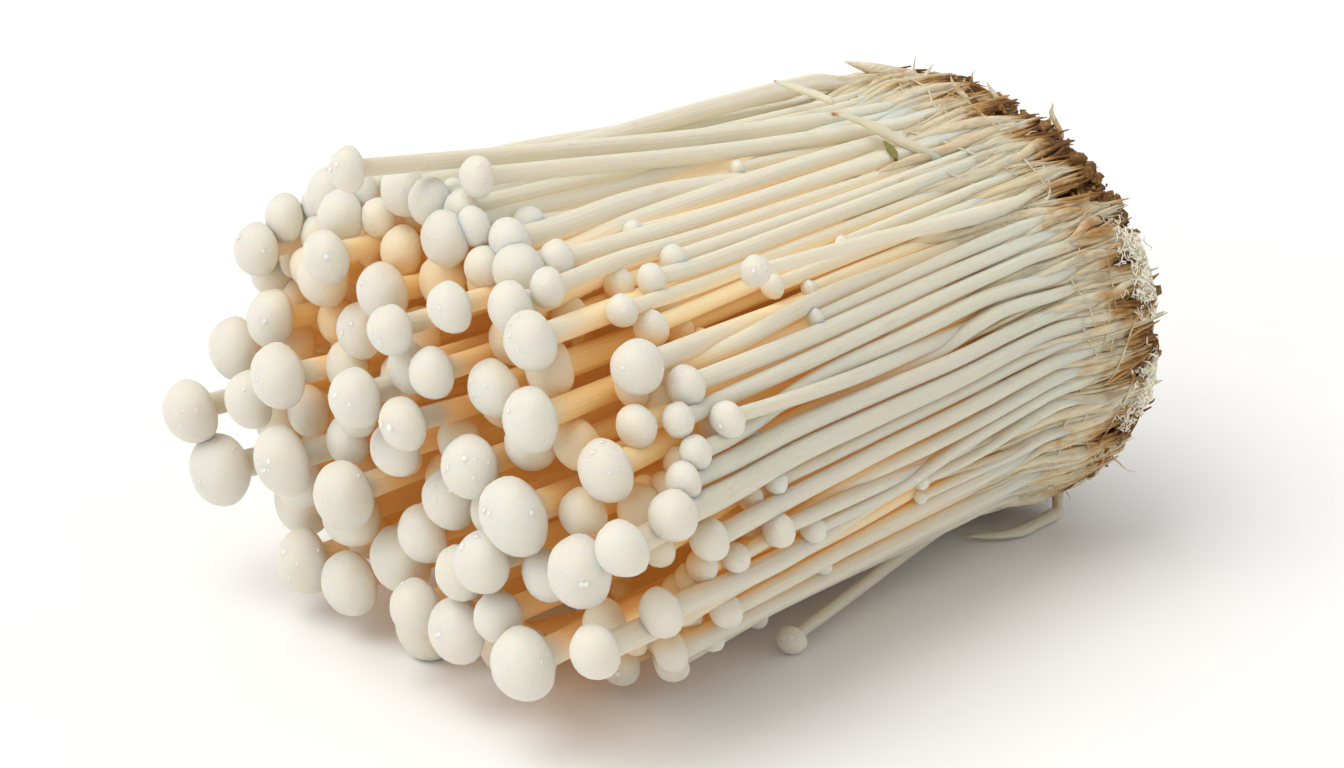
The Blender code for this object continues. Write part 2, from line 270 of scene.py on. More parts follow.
def round_axis(points):
    """The inverse of on_outline: angle round the axis, and distance out, 1 on the outline."""
    across, upward = outline_half(points[..., 0])
    lean = lean_at(points[..., 0])
    y, z = points[..., 1] - middle[0], points[..., 2] - middle[1]
    z, y = ((z * np.cos(lean) - y * np.sin(lean)) / upward,
            (y * np.cos(lean) + z * np.sin(lean)) / across)
    turn = np.arctan2(z, y)
    return turn, np.hypot(y, z) / sag(points[..., 0], turn)


def to_tuft(turn):
    """Signed angle from a place round the axis to the middle of the nearest tuft."""
    away = (tuft_turns - np.asarray(turn)[..., None] + math.pi) % (2 * math.pi) - math.pi
    return np.take_along_axis(away, np.abs(away).argmin(axis=-1)[..., None], axis=-1)[..., 0]


def tuft_gap(turn):
    """0 in the middle of a tuft and 1 halfway to the next."""
    return np.clip(np.abs(to_tuft(turn)) / (math.pi / TUFTS), 0, 1)


def stain_at(points):
    """How brown the root is: more towards its end, between tufts, and in clouds."""
    near_end = ramp(points[..., 0], neck_x, base_x)
    gap = tuft_gap(round_axis(points)[0])
    cloud = np.sin(points * (0.45, 1, 1) @ cloud_waves.T + cloud_starts).mean(axis=-1) * WAVE_GAIN
    return np.clip(near_end**1.8 * (0.30 + 0.72 * gap + 0.66 * cloud), 0, 1)


# Courses of the mushrooms that the frame holds. Each is one fruit body: a long stem
# that starts in the root mass and a round cap at its end, grown as one piece.
RING_CORNERS = 8
SAME_PLANE = 3e-7
RIM_REACH = 0.002
CAP_SWELL, SWELL_RUN = (1.045, 1.13), 0.025
WIDEST, UNDER_REACH, TOP_REACH = 0.40, 0.48, 0.86


def frame_points(name):
    """Every separate point of a frame node, sorted by X."""
    count = len(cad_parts[name].data.vertices)
    points = np.zeros(count * 3, np.float32)
    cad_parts[name].data.vertices.foreach_get("co", points)
    return np.unique(points.reshape(-1, 3), axis=0)


def read_mushroom(name):
    """Centres and radii of a frame mushroom's stem rings, and its cap's place and size."""
    points = frame_points(name)
    steps = np.flatnonzero(np.diff(points[:, 0]) > SAME_PLANE) + 1
    levels = np.split(np.arange(len(points)), steps)
    rings = [points[level] for level in levels if len(level) == RING_CORNERS][::-1]
    in_ring = np.concatenate([level for level in levels if len(level) == RING_CORNERS])
    centres = np.array([ring.mean(axis=0) for ring in rings])
    radii = np.array([np.linalg.norm(ring - centre, axis=1).mean()
                      for ring, centre in zip(rings, centres)])
    cap = np.delete(points, in_ring, axis=0)
    cap = cap[cap[:, 0] < centres[-1, 0] + RIM_REACH]
    axis = unit(cap.mean(axis=0) - centres[-1])
    from_neck = cap - centres[-1]
    along = from_neck @ axis
    cap_radius = np.linalg.norm(from_neck - along[:, None] * axis, axis=1).max()
    cap_radius *= np.interp(centres[-1, 1], (middle[0], middle[0] + SWELL_RUN), CAP_SWELL)
    return {"centres": centres, "radii": radii, "axis": axis, "cap_radius": cap_radius}


frame_names = sorted(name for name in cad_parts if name.startswith("mushroom_"))
found = [read_mushroom(name) for name in frame_names]

# Smaller mushrooms between the ones of the frame. They grew from the same root mass but
# ended sooner: a second row of caps fills the gaps of the face, small caps stand all round
# the outside and in a shell under it, and thin stems with pinheads fill the inside.
PLANE_STEP = 0.002
CLEARANCE = 0.0002
NECK_STEM = 0.0011
OUTER_COUNT, SECOND_COUNT, SHELL_COUNT, INNER_COUNT = 104, 66, 90, 30
OUTER_SHARES, OUTER_X = (0, 0.50, 0.80, 1), (-0.047, -0.038, -0.018, 0.014)
OUTER_CAPS = (0.0033, 0.0026, 0.0018, 0.0010)
SHELL_X, SHELL_CAPS = (-0.048, -0.020), (0.0032, 0.0018)
INNER_X, INNER_CAPS = (-0.046, 0.0), (0.0026, 0.0014)
SECOND_HEIGHTS, SECOND_CAPS, SECOND_STEM = (0.004, 0.070), (0.0046, 0.0041), 0.45
SPOTS, SPOT_DEPTH, LOWEST_SPOT, NO_PLACE = 3000, 0.012, 0.0105, 1.0
FACE_DEPTH, SECOND_FRONT, SECOND_BACK = 0.024, 0.008, -0.012
UNDER_SHIFT, UNDER_SHRINK = 0.020, 0.25
SETTLE_ROUNDS, PAIR_ROUNDS, FREE_ROUNDS, EVEN_ROUNDS = 130, 35, 30, 16
PAIR_REACH, PUSH_BACK, HOME_PULL, EVENNESS = 0.012, 0.9, 0.02, 0.45


def body_radius(planes, cap_x, cap, stem):
    """Radius of every mushroom on every plane: the cap's oval, or the tapering stem."""
    ahead = (cap_x[:, None] - planes[None]) / cap[:, None]
    reach = np.where(ahead < 0, UNDER_REACH, TOP_REACH)
    oval = cap[:, None] * np.sqrt(np.clip(1 - (ahead / reach)**2, 0, None))
    taper = ramp(planes[None], neck_x, cap_x[:, None])
    stalk = NECK_STEM + (stem[:, None] - NECK_STEM) * taper
    return np.where(ahead < 0, np.maximum(stalk, oval), oval)


def fill_face(front):
    """Places for caps in the gaps of the face, each as far forward as the others let it.

    front holds x, y, z, cap radius and stem radius of the caps that are there. A cap
    touches the ones before it from behind, and leaves room for their stems.
    """
    turn, out = draws.uniform(0, 2 * math.pi, SPOTS), np.sqrt(draws.uniform(0, 0.92, SPOTS))
    spots = on_outline(np.full(SPOTS, face_x + SPOT_DEPTH), turn, out=out)
    size = np.interp(spots[:, 2], SECOND_HEIGHTS, SECOND_CAPS) * draws.uniform(0.86, 1.06, SPOTS)
    taken = [tuple(cap) for cap in front]
    for _ in range(SECOND_COUNT):
        x, y, z, radius, stem = np.array(taken).T
        aside = np.hypot(spots[:, 1, None] - y, spots[:, 2, None] - z)
        touch = np.clip((radius + size[:, None] + CLEARANCE)**2 - aside**2, 0, None)
        behind = np.where(touch > 0, x + np.sqrt(touch), face_x + SECOND_FRONT).max(axis=1)
        behind[(aside < stem + size[:, None]).any(axis=1) | (spots[:, 2] < LOWEST_SPOT)] = NO_PLACE
        best = behind.argmin()
        taken.append((behind[best], *spots[best, 1:], size[best], SECOND_STEM * size[best]))
    return np.array(taken[len(front):])


def plan_small():
    """Cap x, cap radius, stem radius, angle and distance out of each small mushroom."""
    front = np.array([(*(f["centres"][-1] + f["axis"] * WIDEST * f["cap_radius"]),
                       f["cap_radius"], f["radii"][-1]) for f in found])
    second = fill_face(front[front[:, 0] < face_x + FACE_DEPTH])
    second = second[second[:, 0] < SECOND_BACK]
    second_turn, second_out = round_axis(second[:, :3])
    outer_turn = (np.arange(OUTER_COUNT) + draws.uniform(-0.3, 0.3, OUTER_COUNT)) / OUTER_COUNT
    share = draws.permutation(OUTER_COUNT) / OUTER_COUNT
    outer_x = np.interp(share, OUTER_SHARES, OUTER_X)
    outer_cap = np.interp(outer_x, OUTER_X, OUTER_CAPS) * draws.uniform(0.85, 1.2, OUTER_COUNT)
    shell_turn = (np.arange(SHELL_COUNT) + draws.uniform(-0.4, 0.4, SHELL_COUNT)) / SHELL_COUNT
    shell_x = draws.uniform(*SHELL_X, SHELL_COUNT)
    shell_cap = np.interp(shell_x, SHELL_X, SHELL_CAPS) * draws.uniform(0.85, 1.1, SHELL_COUNT)
    inner_x = draws.uniform(*INNER_X, INNER_COUNT)
    inner_cap = np.interp(inner_x, INNER_X, INNER_CAPS) * draws.uniform(0.8, 1.1, INNER_COUNT)
    turn = np.concatenate([outer_turn * 2 * math.pi, second_turn, shell_turn * 2 * math.pi,
                           draws.uniform(0, 2 * math.pi, INNER_COUNT)])
    out = np.concatenate([draws.uniform(0.95, 1.0, OUTER_COUNT), second_out,
                          draws.uniform(0.86, 0.94, SHELL_COUNT),
                          np.sqrt(draws.uniform(0.10, 0.70, INNER_COUNT))])
    cap_x = np.concatenate([outer_x, second[:, 0], shell_x, inner_x])
    cap = np.concatenate([outer_cap, second[:, 3], shell_cap, inner_cap])
    under = ramp(-np.sin(turn), 0.45, 0.85)
    under[OUTER_COUNT:OUTER_COUNT + len(second)] = 0
    cap_x, cap = cap_x + UNDER_SHIFT * under, cap * (1 - UNDER_SHRINK * under)
    stem = np.clip(cap * 0.50, 0.0008, 0.0018) * draws.uniform(0.9, 1.1, len(cap))
    return cap_x, cap, stem, turn, out


def even_out(points, share):
    """Draw each inner point of a course towards the middle between its neighbours."""
    between = (points[..., :-2, :] + points[..., 2:, :]) / 2
    points[..., 1:-1, :] += share * (between - points[..., 1:-1, :])


def settle_small(planes, cap_x, cap, stem, turn, out):
    """Fit the small mushrooms between the frame's, which stay where they are.

    Planes across X cut every mushroom into circles. In each round the circles that
    overlap push the small ones away, stems are evened out along X, and all are kept
    inside the outline of the bunch and off the table.
    """
    course = on_outline(planes[None], turn[:, None], out=out[:, None])[..., 1:]
    radius = body_radius(planes, cap_x, cap, stem)
    their_x = np.array([f["centres"][-1, 0] - WIDEST * f["cap_radius"] for f in found])
    their_cap = np.array([f["cap_radius"] for f in found])
    their_stem = np.array([f["radii"][-1] for f in found])
    their_place = np.array([[np.interp(planes, f["centres"][::-1, 0], f["centres"][::-1, axis])
                             for axis in (1, 2)] for f in found]).transpose(0, 2, 1)
    all_radius = np.concatenate([radius, body_radius(planes, their_x, their_cap, their_stem)])
    count = len(cap_x)
    place = course.copy()
    for round_number in range(SETTLE_ROUNDS):
        everyone = np.concatenate([place, their_place])
        if round_number % PAIR_ROUNDS == 0:
            reach = np.abs(everyone[:count, None, ::5] - everyone[None, :, ::5]).max(axis=3).min(axis=2)
            one, other = np.nonzero(reach < PAIR_REACH)
            one, other = one[one != other], other[one != other]
            need = radius[one] + all_radius[other] + CLEARANCE
            need = np.where((radius[one] > 0) & (all_radius[other] > 0), need, 0)
            weight = np.where(other < count, PUSH_BACK / 2, PUSH_BACK)[:, None]
        apart = everyone[one] - everyone[other]
        distance = np.sqrt((apart**2).sum(axis=2)) + 1e-9
        push = np.clip(need - distance, 0, None) * weight / distance
        np.add.at(place, one, apart * push[..., None])
        if round_number < SETTLE_ROUNDS - FREE_ROUNDS:
            place += HOME_PULL * (course - place)
        even_out(place, EVENNESS)
        level = np.broadcast_to(planes[None, :, None], (*place.shape[:2], 1))
        whole = np.concatenate([level, place], axis=2)
        angle, size = round_axis(whole)
        place = on_outline(whole[..., 0], angle, out=np.minimum(size, 1.0))[..., 1:]
        place[..., 1] = np.maximum(place[..., 1], radius)
    for _ in range(EVEN_ROUNDS):
        even_out(place, 0.5)
    return place


def read_small(index):
    """Course, radii and cap of a settled small mushroom, as for the frame's own."""
    neck_ring = cap_x[index] + WIDEST * cap[index]
    x = np.append(planes[planes > neck_ring + PLANE_STEP][::3], neck_ring)
    yz = np.stack([np.interp(-x, -planes, place[index, :, axis]) for axis in (0, 1)], axis=1)
    centres = np.column_stack([x, yz])
    taper = ramp(x, neck_x, cap_x[index])
    return {"centres": centres, "radii": NECK_STEM + (stem[index] - NECK_STEM) * taper,
            "axis": unit(centres[-1] - centres[-2]), "cap_radius": cap[index]}


planes = np.arange(neck_x, face_x, -PLANE_STEP)
cap_x, cap, stem, turn, out = plan_small()
place = settle_small(planes, cap_x, cap, stem, turn, out)
small = [read_small(index) for index in range(len(cap_x))]


# Skin of the mushrooms. A stem is drawn out along its course, round under the cap and
# ribbed and flattened where it was pressed among the others near the root. The cap is a
# dome with its margin rolled in and a shallow hollow of gills under it.
RIM_DROP, FULLNESS, CAP_LEAN = 0.12, 0.90, 0.12
GILL_ROWS, GILL_IN, GILL_OUT = 3, 0.46, 0.60
FOOT_OUT, FOOT_TURN = 0.975, 0.1
RUN_STEPS = np.array([1.0, 0.82, 0.55, 0.27])
RUN_OUT = np.array([0.962, 0.984, 0.993, 0.998])
RUN_RADII = np.array([0.00018, 0.00042, 0.00070, 0.00094])


def smooth_course(points, count):
    """Catmull-Rom curve through the points, read at even steps of the point number."""
    ends = np.vstack([2 * points[0] - points[1], points, 2 * points[-1] - points[-2]])
    at = np.linspace(0, len(points) - 1, count)
    cell = np.minimum(at.astype(int), len(points) - 2)
    t = (at - cell)[:, None]
    p0, p1, p2, p3 = (ends[cell + step] for step in range(4))
    return 0.5 * (2 * p1 + (p2 - p0) * t + (2 * p0 - 5 * p1 + 4 * p2 - p3) * t**2
                  + (3 * p1 - p0 - 3 * p2 + p3) * t**3)


def root_run(start, pull, shift):
    """Points from the end of the root mass up to the start of a stem.

    The stem keeps its place in the outline as that widens, is drawn by pull to the
    middle of its tuft and moved round by shift, and its foot turns inwards.
    """
    turn, out = round_axis(start)
    out = out + (min(out, FOOT_OUT) - out) * RUN_STEPS**0.5
    x = neck_x + (base_x - neck_x) * RUN_STEPS
    turned = turn + (to_tuft(turn) * pull + shift) * RUN_STEPS**1.5
    return on_outline(x, turned, out=out * RUN_OUT)


def frames_along(course, upright=(0.0, 0.0, 1.0)):
    """Unit tangent, side and up vectors along a course that never runs along upright."""
    tangent = unit(np.gradient(course, axis=-2))
    side = unit(np.cross(tangent, upright))
    return tangent, side, np.cross(side, tangent)


def stem_rows(course, radius, columns, flatten):
    """Rings about the course: radius times 1 + flatten x (two and three lobed waves)."""
    _, side, up = frames_along(course)
    angle = turn_ring(columns)[None]
    phase = draws.uniform(0, 2 * math.pi, 4)
    twist = np.linspace(0, draws.uniform(-1.5, 1.5), len(course))[:, None]
    lobes = (np.cos(2 * angle + phase[0] + twist) + 0.7 * np.cos(3 * angle + phase[1] - twist)
             + 0.35 * np.cos(5 * angle + phase[2] + 2 * twist))
    wave = 1 + 0.03 * np.sin(np.linspace(0, 9, len(course)) + phase[3])[:, None]
    reach = radius[:, None] * wave * (1 + flatten[:, None] * lobes)
    ring = np.cos(angle)[..., None] * up[:, None] + np.sin(angle)[..., None] * side[:, None]
    return course[:, None] + reach[..., None] * ring


def cap_outline(rows, height):
    """Radius and height over the rim plane, in cap radii, from the stem to the top.

    The gills slope from the stem down to the margin. The dome is an oval whose
    latitude runs from 54 degrees under its widest place up to the pole.
    """
    under = np.linspace(0, 1, GILL_ROWS + 1)[:-1]
    gill_radius = GILL_IN + (GILL_OUT - GILL_IN) * under
    gill_height = 0.27 - 0.12 * under**2
    latitude = np.linspace(math.radians(-54), math.radians(90), rows - GILL_ROWS)
    middle_height = WIDEST + RIM_DROP
    reach = np.where(latitude < 0, UNDER_REACH, height - middle_height)
    return (np.concatenate([gill_radius, np.abs(np.cos(latitude))**FULLNESS]),
            np.concatenate([gill_height, middle_height + reach * np.sin(latitude)]))


def cap_rows(neck, axis, cap_radius, stem_radius, rows, columns, height, lean):
    """Rings of a cap about its axis, a little oval and dented, without the top point."""
    axis = unit(axis + lean)
    side = unit(np.cross(axis, (0.0, 0.0, 1.0)))
    up = np.cross(side, axis)
    radius, rise = cap_outline(rows, height)
    stem_edge = stem_radius / cap_radius * 1.02 + 0.02 * np.arange(GILL_ROWS)
    radius[:GILL_ROWS] = np.maximum(radius[:GILL_ROWS], stem_edge)
    angle = turn_ring(columns)[None]
    phase = draws.uniform(0, 2 * math.pi, 3)
    oval = (1 + draws.uniform(0, 0.045) * np.cos(2 * angle + phase[0])
            + draws.uniform(0, 0.025) * np.cos(3 * angle + phase[1])
            + 0.012 * np.cos(5 * angle + phase[2] + 4 * rise[:, None]))
    reach = cap_radius * radius[:, None] * oval
    level = cap_radius * (rise - RIM_DROP)
    ring = np.cos(angle)[..., None] * up + np.sin(angle)[..., None] * side
    rows_of_points = neck + level[:, None, None] * axis + reach[..., None] * ring
    return rows_of_points[:-1], neck + level[-1] * axis


def mushroom_surface(course, shape, cap_count, columns):
    """Rings of one skin from the foot over stem, gills and dome, and its two end points."""
    path, radius = course["path"], course["radius"]
    stem = stem_rows(path, radius, columns, course["flatten"])
    lean = draws.uniform(-1, 1, 3) * CAP_LEAN
    cap, top = cap_rows(path[-1], shape["axis"], shape["cap_radius"], radius[-1], cap_count,
                        columns, shape["height"], lean)
    return np.concatenate([stem, cap]), path[0] + (path[0] - path[1]) * FOOT_TURN, top


def closed_faces(rows, columns, first):
    """Quads between the rings of a closed skin and triangles to its two end points.

    The corners of each face follow the turn of the rings, so that it looks outwards.
    """
    corner = np.arange(rows * columns).reshape(rows, columns) + first
    after = np.roll(corner, -1, axis=1)
    quads = np.stack([corner[:-1], after[:-1], after[1:], corner[1:]], axis=2).reshape(-1, 4)
    bottom, top = first + rows * columns, first + rows * columns + 1
    low = np.stack([after[0], corner[0], np.full(columns, bottom)], axis=1)
    high = np.stack([corner[-1], after[-1], np.full(columns, top)], axis=1)
    return quads, np.concatenate([low, high])


def add_piece(name, points, faces, material, numbers=(), vectors=()):
    """Make a smooth mesh piece that rides on the bunch, with its surface attributes."""
    mesh = bpy.data.meshes.new(name)
    points = np.column_stack([points[:, :2], np.maximum(points[:, 2], TABLE_TOUCH)])
    mesh.from_pydata(points.tolist(), [], [face for part in faces for face in part.tolist()])
    for kind, field, attributes in (("FLOAT", "value", numbers), ("FLOAT_VECTOR", "vector", vectors)):
        for key, values in dict(attributes).items():
            mesh.attributes.new(key, kind, "POINT").data.foreach_set(
                field, values.astype(np.float32).ravel())
    mesh.shade_smooth()
    mesh.materials.append(material)
    piece = bpy.data.objects.new(name, mesh)
    bpy.context.scene.collection.objects.link(piece)
    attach(piece, "root")
    return piece


def full_course(shape, rows):
    """A mushroom's path from the end of the root mass to its neck, with its radii."""
    centres = shape["centres"].copy()
    even_out(centres, 0.3)
    points = np.vstack([root_run(centres[0], shape["pull"], shape["shift"]), centres])
    path = smooth_course(points, rows)
    radii = np.concatenate([RUN_RADII * shape["foot"], shape["radii"]])
    radius = smooth_course(radii[:, None], rows)[:, 0]
    from_cap = ramp(path[:, 0], face_x, base_x)
    return {"path": path, "radius": radius, "flatten": 0.015 + 0.17 * from_cap**3.5}


def depth_in_bunch(points):
    """Mask of the painted shade and glow: 0 outside or in front of the caps, 1 deep between the stems.
    """
    behind = ramp(points[:, 0], face_x + 0.009, face_x + 0.027)
    return ramp(round_axis(points)[1], 1.02, 0.72) * behind


def painted_glow_above(points):
    """Painted glow for light soaking in from above: most low between the upper stems, none below."""
    between = 0.30 + 0.70 * ramp(round_axis(points)[1], 1.0, 0.95)
    above = ramp(points[:, 2], middle[1] + 0.010, middle[1] + 0.028)
    behind = ramp(points[:, 0], face_x + 0.010, face_x + 0.028)
    before_root = ramp(points[:, 0], neck_x + 0.012, neck_x - 0.004)
    return between * above * behind * np.maximum(before_root, 0.15)


def dress(shapes, stem_count, cap_count, columns):
    """Skins of several mushrooms in one mesh, with what their material reads.

    part is 0 on the stem, 0.5 on the gills and 1 on the dome; stain is the brown of the
    root; deep is how far inside the bunch a point lies, and it masks the painted shade and
    glow between the stems; soft is the amount of painted glow on the upper stems, standing
    in for light that soaks in from above; tone differs from mushroom to mushroom; grain
    holds the direction round the stem and the length along it.
    """
    skins, faces, grains, numbers, first = [], [], [], [], 0
    for shape in shapes:
        course = full_course(shape, stem_count)
        grid, bottom, top = mushroom_surface(course, shape, cap_count, columns)
        skin = np.vstack([grid.reshape(-1, 3), bottom, top])
        faces += closed_faces(len(grid), columns, first)
        skins.append(skin)
        first += len(skin)
        dome_count = len(grid) - stem_count - GILL_ROWS
        part = np.repeat((0, 0.5, 1), (stem_count, GILL_ROWS, dome_count))
        steps = np.diff(course["path"], axis=0, prepend=course["path"][:1])
        length = np.cumsum(np.linalg.norm(steps, axis=1))
        length = np.append(length, np.full(len(grid) - stem_count, length[-1]))
        angle, tone = turn_ring(columns), draws.uniform(0, 1)
        grain = np.stack(np.broadcast_arrays(
            np.cos(angle), np.sin(angle), length[:, None] * 12 + tone * 9), axis=2)
        grains.append(np.vstack([grain.reshape(-1, 3), grain[[0, -1]].mean(axis=1)]))
        numbers.append({"part": np.append(np.repeat(part, columns), part[[0, -1]]),
                        "stain": stain_at(skin), "deep": depth_in_bunch(skin),
                        "soft": painted_glow_above(skin), "tone": np.full(len(skin), tone)})
    numbers = {key: np.concatenate([one[key] for one in numbers]) for key in numbers[0]}
    return np.vstack(skins), faces, numbers, {"grain": np.vstack(grains)}


# Flesh: firm, matt and a little translucent. Caps are near white, stems ivory with fine
# lengthwise fibres. Deep between the stems both take a painted amber shade and a painted
# glow, which stand in for light coming through the flesh, and the upper stems take a
# painted cream glow for light from above. At the root they are stained tan to brown.
CAP_WHITE, CAP_CREAM = (0.735, 0.725, 0.665, 1.0), (0.725, 0.69, 0.60, 1.0)
STEM_WHITE, STEM_IVORY = (0.70, 0.695, 0.625, 1.0), (0.70, 0.655, 0.52, 1.0)
PAINTED_GAP_CREAM, PAINTED_GAP_AMBER = (0.88, 0.61, 0.28, 1.0), (0.91, 0.60, 0.24, 1.0)
GILL_CREAM, NO_GLOW = (0.76, 0.63, 0.42, 1.0), (0.0, 0.0, 0.0, 1.0)
PAINTED_CREAM_GLOW, PAINTED_AMBER_GLOW = (0.235, 0.238, 0.180, 1.0), (0.050, 0.025, 0.006, 1.0)
PAINTED_SEAM_GLOW = (0.080, 0.037, 0.006, 1.0)
CREAM_STAIN = (0.73, 0.64, 0.46, 1.0)
TAN_STAIN, BROWN_STAIN = (0.50, 0.27, 0.09, 1.0), (0.19, 0.08, 0.02, 1.0)
flesh, shade, feed = start_material(
    "mushroom_flesh", 0.46, Subsurface_Weight=0.85, Subsurface_Scale=0.0034,
    Subsurface_Radius=(1.0, 0.62, 0.30), Specular_IOR_Level=0.35, Emission_Strength=1.0)
place = shade.node("ShaderNodeTexCoord", output=3)
grain = shade.attribute("grain", output=1)
part, stain = shade.attribute("part"), shade.attribute("stain")
deep, tone = shade.attribute("deep"), shade.attribute("tone")
fibres = grain.noise(3.2, 4.0, 0.6)
clouds = place.noise(260.0, 3.0)
stem_colour = shade.mix(STEM_IVORY, STEM_WHITE, (fibres * 1.6 - 0.3 + clouds * 0.4 - 0.2).clamped())
soaked = (stain * 1.35 + fibres * 0.6 + clouds * 0.8 - 0.73).clamped()
stem_colour = shade.mix(stem_colour, CREAM_STAIN, stain.between(0.0, 0.13) * 0.9)
stem_colour = shade.mix(stem_colour, TAN_STAIN, soaked.between(0.05, 0.60))
stem_colour = shade.mix(stem_colour, BROWN_STAIN, soaked.between(0.55, 1.0))
cap_colour = shade.mix(CAP_WHITE, CAP_CREAM, (clouds * 0.7 + tone * 0.5 - 0.25).clamped())
skin_colour = shade.mix(stem_colour, GILL_CREAM, part.between(0.1, 0.5))
skin_colour = shade.mix(skin_colour, cap_colour, part.between(0.5, 0.9))
# Painted shade: deep between the stems the base colour turns warm cream, then amber, in place of light
# passing through and bouncing in the flesh.
painted_gap_shade = deep * (1 - part.between(0.1, 0.5) * 0.55)
skin_colour = shade.mix(skin_colour, PAINTED_GAP_CREAM, painted_gap_shade.between(0.0, 0.28) * 0.90)
feed("Base Color", shade.mix(skin_colour, PAINTED_GAP_AMBER, painted_gap_shade.between(0.15, 0.85) * 0.95))
# Painted glow: an amber emission deep between the stems, strongest in a seam just inside the outline,
# stands in for light coming through the flesh.
painted_glow = shade.mix(NO_GLOW, PAINTED_AMBER_GLOW, deep.between(0.02, 0.45))
painted_seam_glow = deep.between(0.04, 0.17) * (1 - deep.between(0.30, 0.60)) * (1 - part.between(0.1, 0.5))
painted_glow = shade.mix(painted_glow, PAINTED_SEAM_GLOW, painted_seam_glow)
# Painted glow: a cream emission on the upper stems, low between them, stands in for light soaking in
# from above.
soft = shade.attribute("soft") * (1 - deep.between(0.15, 0.55)) * (1 - part.between(0.1, 0.5) * 0.8)
feed("Emission Color", shade.mix(painted_glow, PAINTED_CREAM_GLOW, soft))
frost = place.noise(2100.0, 3.0, 0.6) * part.between(0.5, 0.9)
ribs = fibres * (1 - part.between(0.0, 0.5))
feed("Normal", shade.bump(frost * 0.00014 + ribs * 0.00022 + clouds * 0.00012, 1.0, 1.0))
feed("Roughness", 0.37 + place.noise(900.0, 2.0) * 0.14)

# The frame's mushrooms take a skin each, and the smaller ones between them come in groups.
BIG_STEM_ROWS, BIG_CAP_ROWS, BIG_COLUMNS = 56, 22, 28
SMALL_STEM_ROWS, SMALL_CAP_ROWS, SMALL_COLUMNS = 36, 15, 18
GROUP = 20
BEAD_SIDE = (-0.6, -0.3, 0.5)


def finish_shape(shape):
    """Draw what is left open for a mushroom: the height of its cap, and its foot."""
    shape["height"] = draws.uniform(1.28, 1.48)
    shape["pull"], shape["shift"] = draws.uniform(0.2, 0.8), draws.uniform(-0.03, 0.03)
    shape["foot"] = draws.uniform(0.8, 1.25)
    return shape


dome_points, dome_outward = [], []
for name, shape in zip(frame_names, found):
    points, faces, numbers, vectors = dress([finish_shape(shape)], BIG_STEM_ROWS, BIG_CAP_ROWS,
                                            BIG_COLUMNS)
    dome = points[numbers["part"] > 0.9]
    outward = unit(dome - dome.mean(axis=0))
    ahead = outward @ BEAD_SIDE > 0.35
    dome_points.append(dome[ahead])
    dome_outward.append(outward[ahead])
    piece = add_piece("whole_" + name, points, faces, flesh, numbers, vectors)
    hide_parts(name)
dome_points, dome_outward = np.concatenate(dome_points), np.concatenate(dome_outward)
for first in range(0, len(small), GROUP):
    group = [finish_shape(shape) for shape in small[first:first + GROUP]]
    points, faces, numbers, vectors = dress(group, SMALL_STEM_ROWS, SMALL_CAP_ROWS, SMALL_COLUMNS)
    add_piece(f"small_mushrooms_{first // GROUP + 1}", points, faces, flesh,
              numbers, vectors)


# Loose stems that lost their caps: two lie over the top of the bunch near the root and one
# lies bent on the table. Each is one torn-off stalk with a withered tip at either end.
LOOSE_CORNERS = 6
LOOSE_ROWS, LOOSE_COLUMNS = 90, 20
TIP_SHARE, BLUNT_SHARE, STAIN_SHARE = 0.30, 0.012, 0.055
TABLE_STEM_ROOT = ((0.0590, -0.0267, 0.0030), (0.0606, -0.0250, 0.0052), (0.0612, -0.0230, 0.0078))


def loose_course(name):
    """Centre line of a frame's loose stem: the means of its rings, from its -X or -Y end."""
    points = frame_points(name)
    lengthwise = np.linalg.svd(points - points.mean(axis=0), full_matrices=False)[2][0]
    lengthwise *= np.sign(lengthwise[np.abs(lengthwise).argmax()])
    points = points[np.argsort(points @ lengthwise)]
    centres = points.reshape(-1, LOOSE_CORNERS, 3).mean(axis=1)
    for _ in range(3):
        even_out(centres, 0.5)
    return smooth_course(centres, LOOSE_ROWS)


def loose_stem(name, thick, torn_end, tip_stain, root=()):
    """A stalk that thins and is stained towards its torn end, and may run on to its root."""
    path = loose_course(name)
    if root:
        path = smooth_course(np.vstack([path[::12], root]), LOOSE_ROWS)
    share = np.linspace(0, 1, LOOSE_ROWS)
    from_tear = share if torn_end == "first" else 1 - share
    from_end = np.minimum(share, 1 - share)
    taper = ramp(from_tear, 0, TIP_SHARE) * np.clip(0.45 + from_end / 0.2, 0, 1)
    radius = thick * (0.30 + 0.70 * taper) * (1 + 0.05 * np.sin(share * 23))
    blunt = np.clip(from_end / BLUNT_SHARE, 0.25, 1)**0.5
    grid = stem_rows(path, radius * blunt, LOOSE_COLUMNS, np.full(LOOSE_ROWS, 0.05))
    points = np.vstack([grid.reshape(-1, 3), path[0], path[-1]])
    stain = np.maximum(tip_stain * np.clip(1.25 - from_tear / STAIN_SHARE, 0, 1), 0.05)
    stain = np.append(np.repeat(stain, LOOSE_COLUMNS), stain[[0, -1]])
    angle, nothing = turn_ring(LOOSE_COLUMNS), np.zeros(len(points))
    grain = np.stack(np.broadcast_arrays(np.cos(angle), np.sin(angle), share[:, None] * 0.6),
                     axis=2).reshape(-1, 3)
    piece = add_piece("whole_" + name, points, closed_faces(LOOSE_ROWS, LOOSE_COLUMNS, 0),
                      flesh,
                      {"part": nothing, "stain": stain, "deep": nothing, "tone": nothing + 0.6},
                      {"grain": np.vstack([grain, grain[[0, -1]]])})
    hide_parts(name)


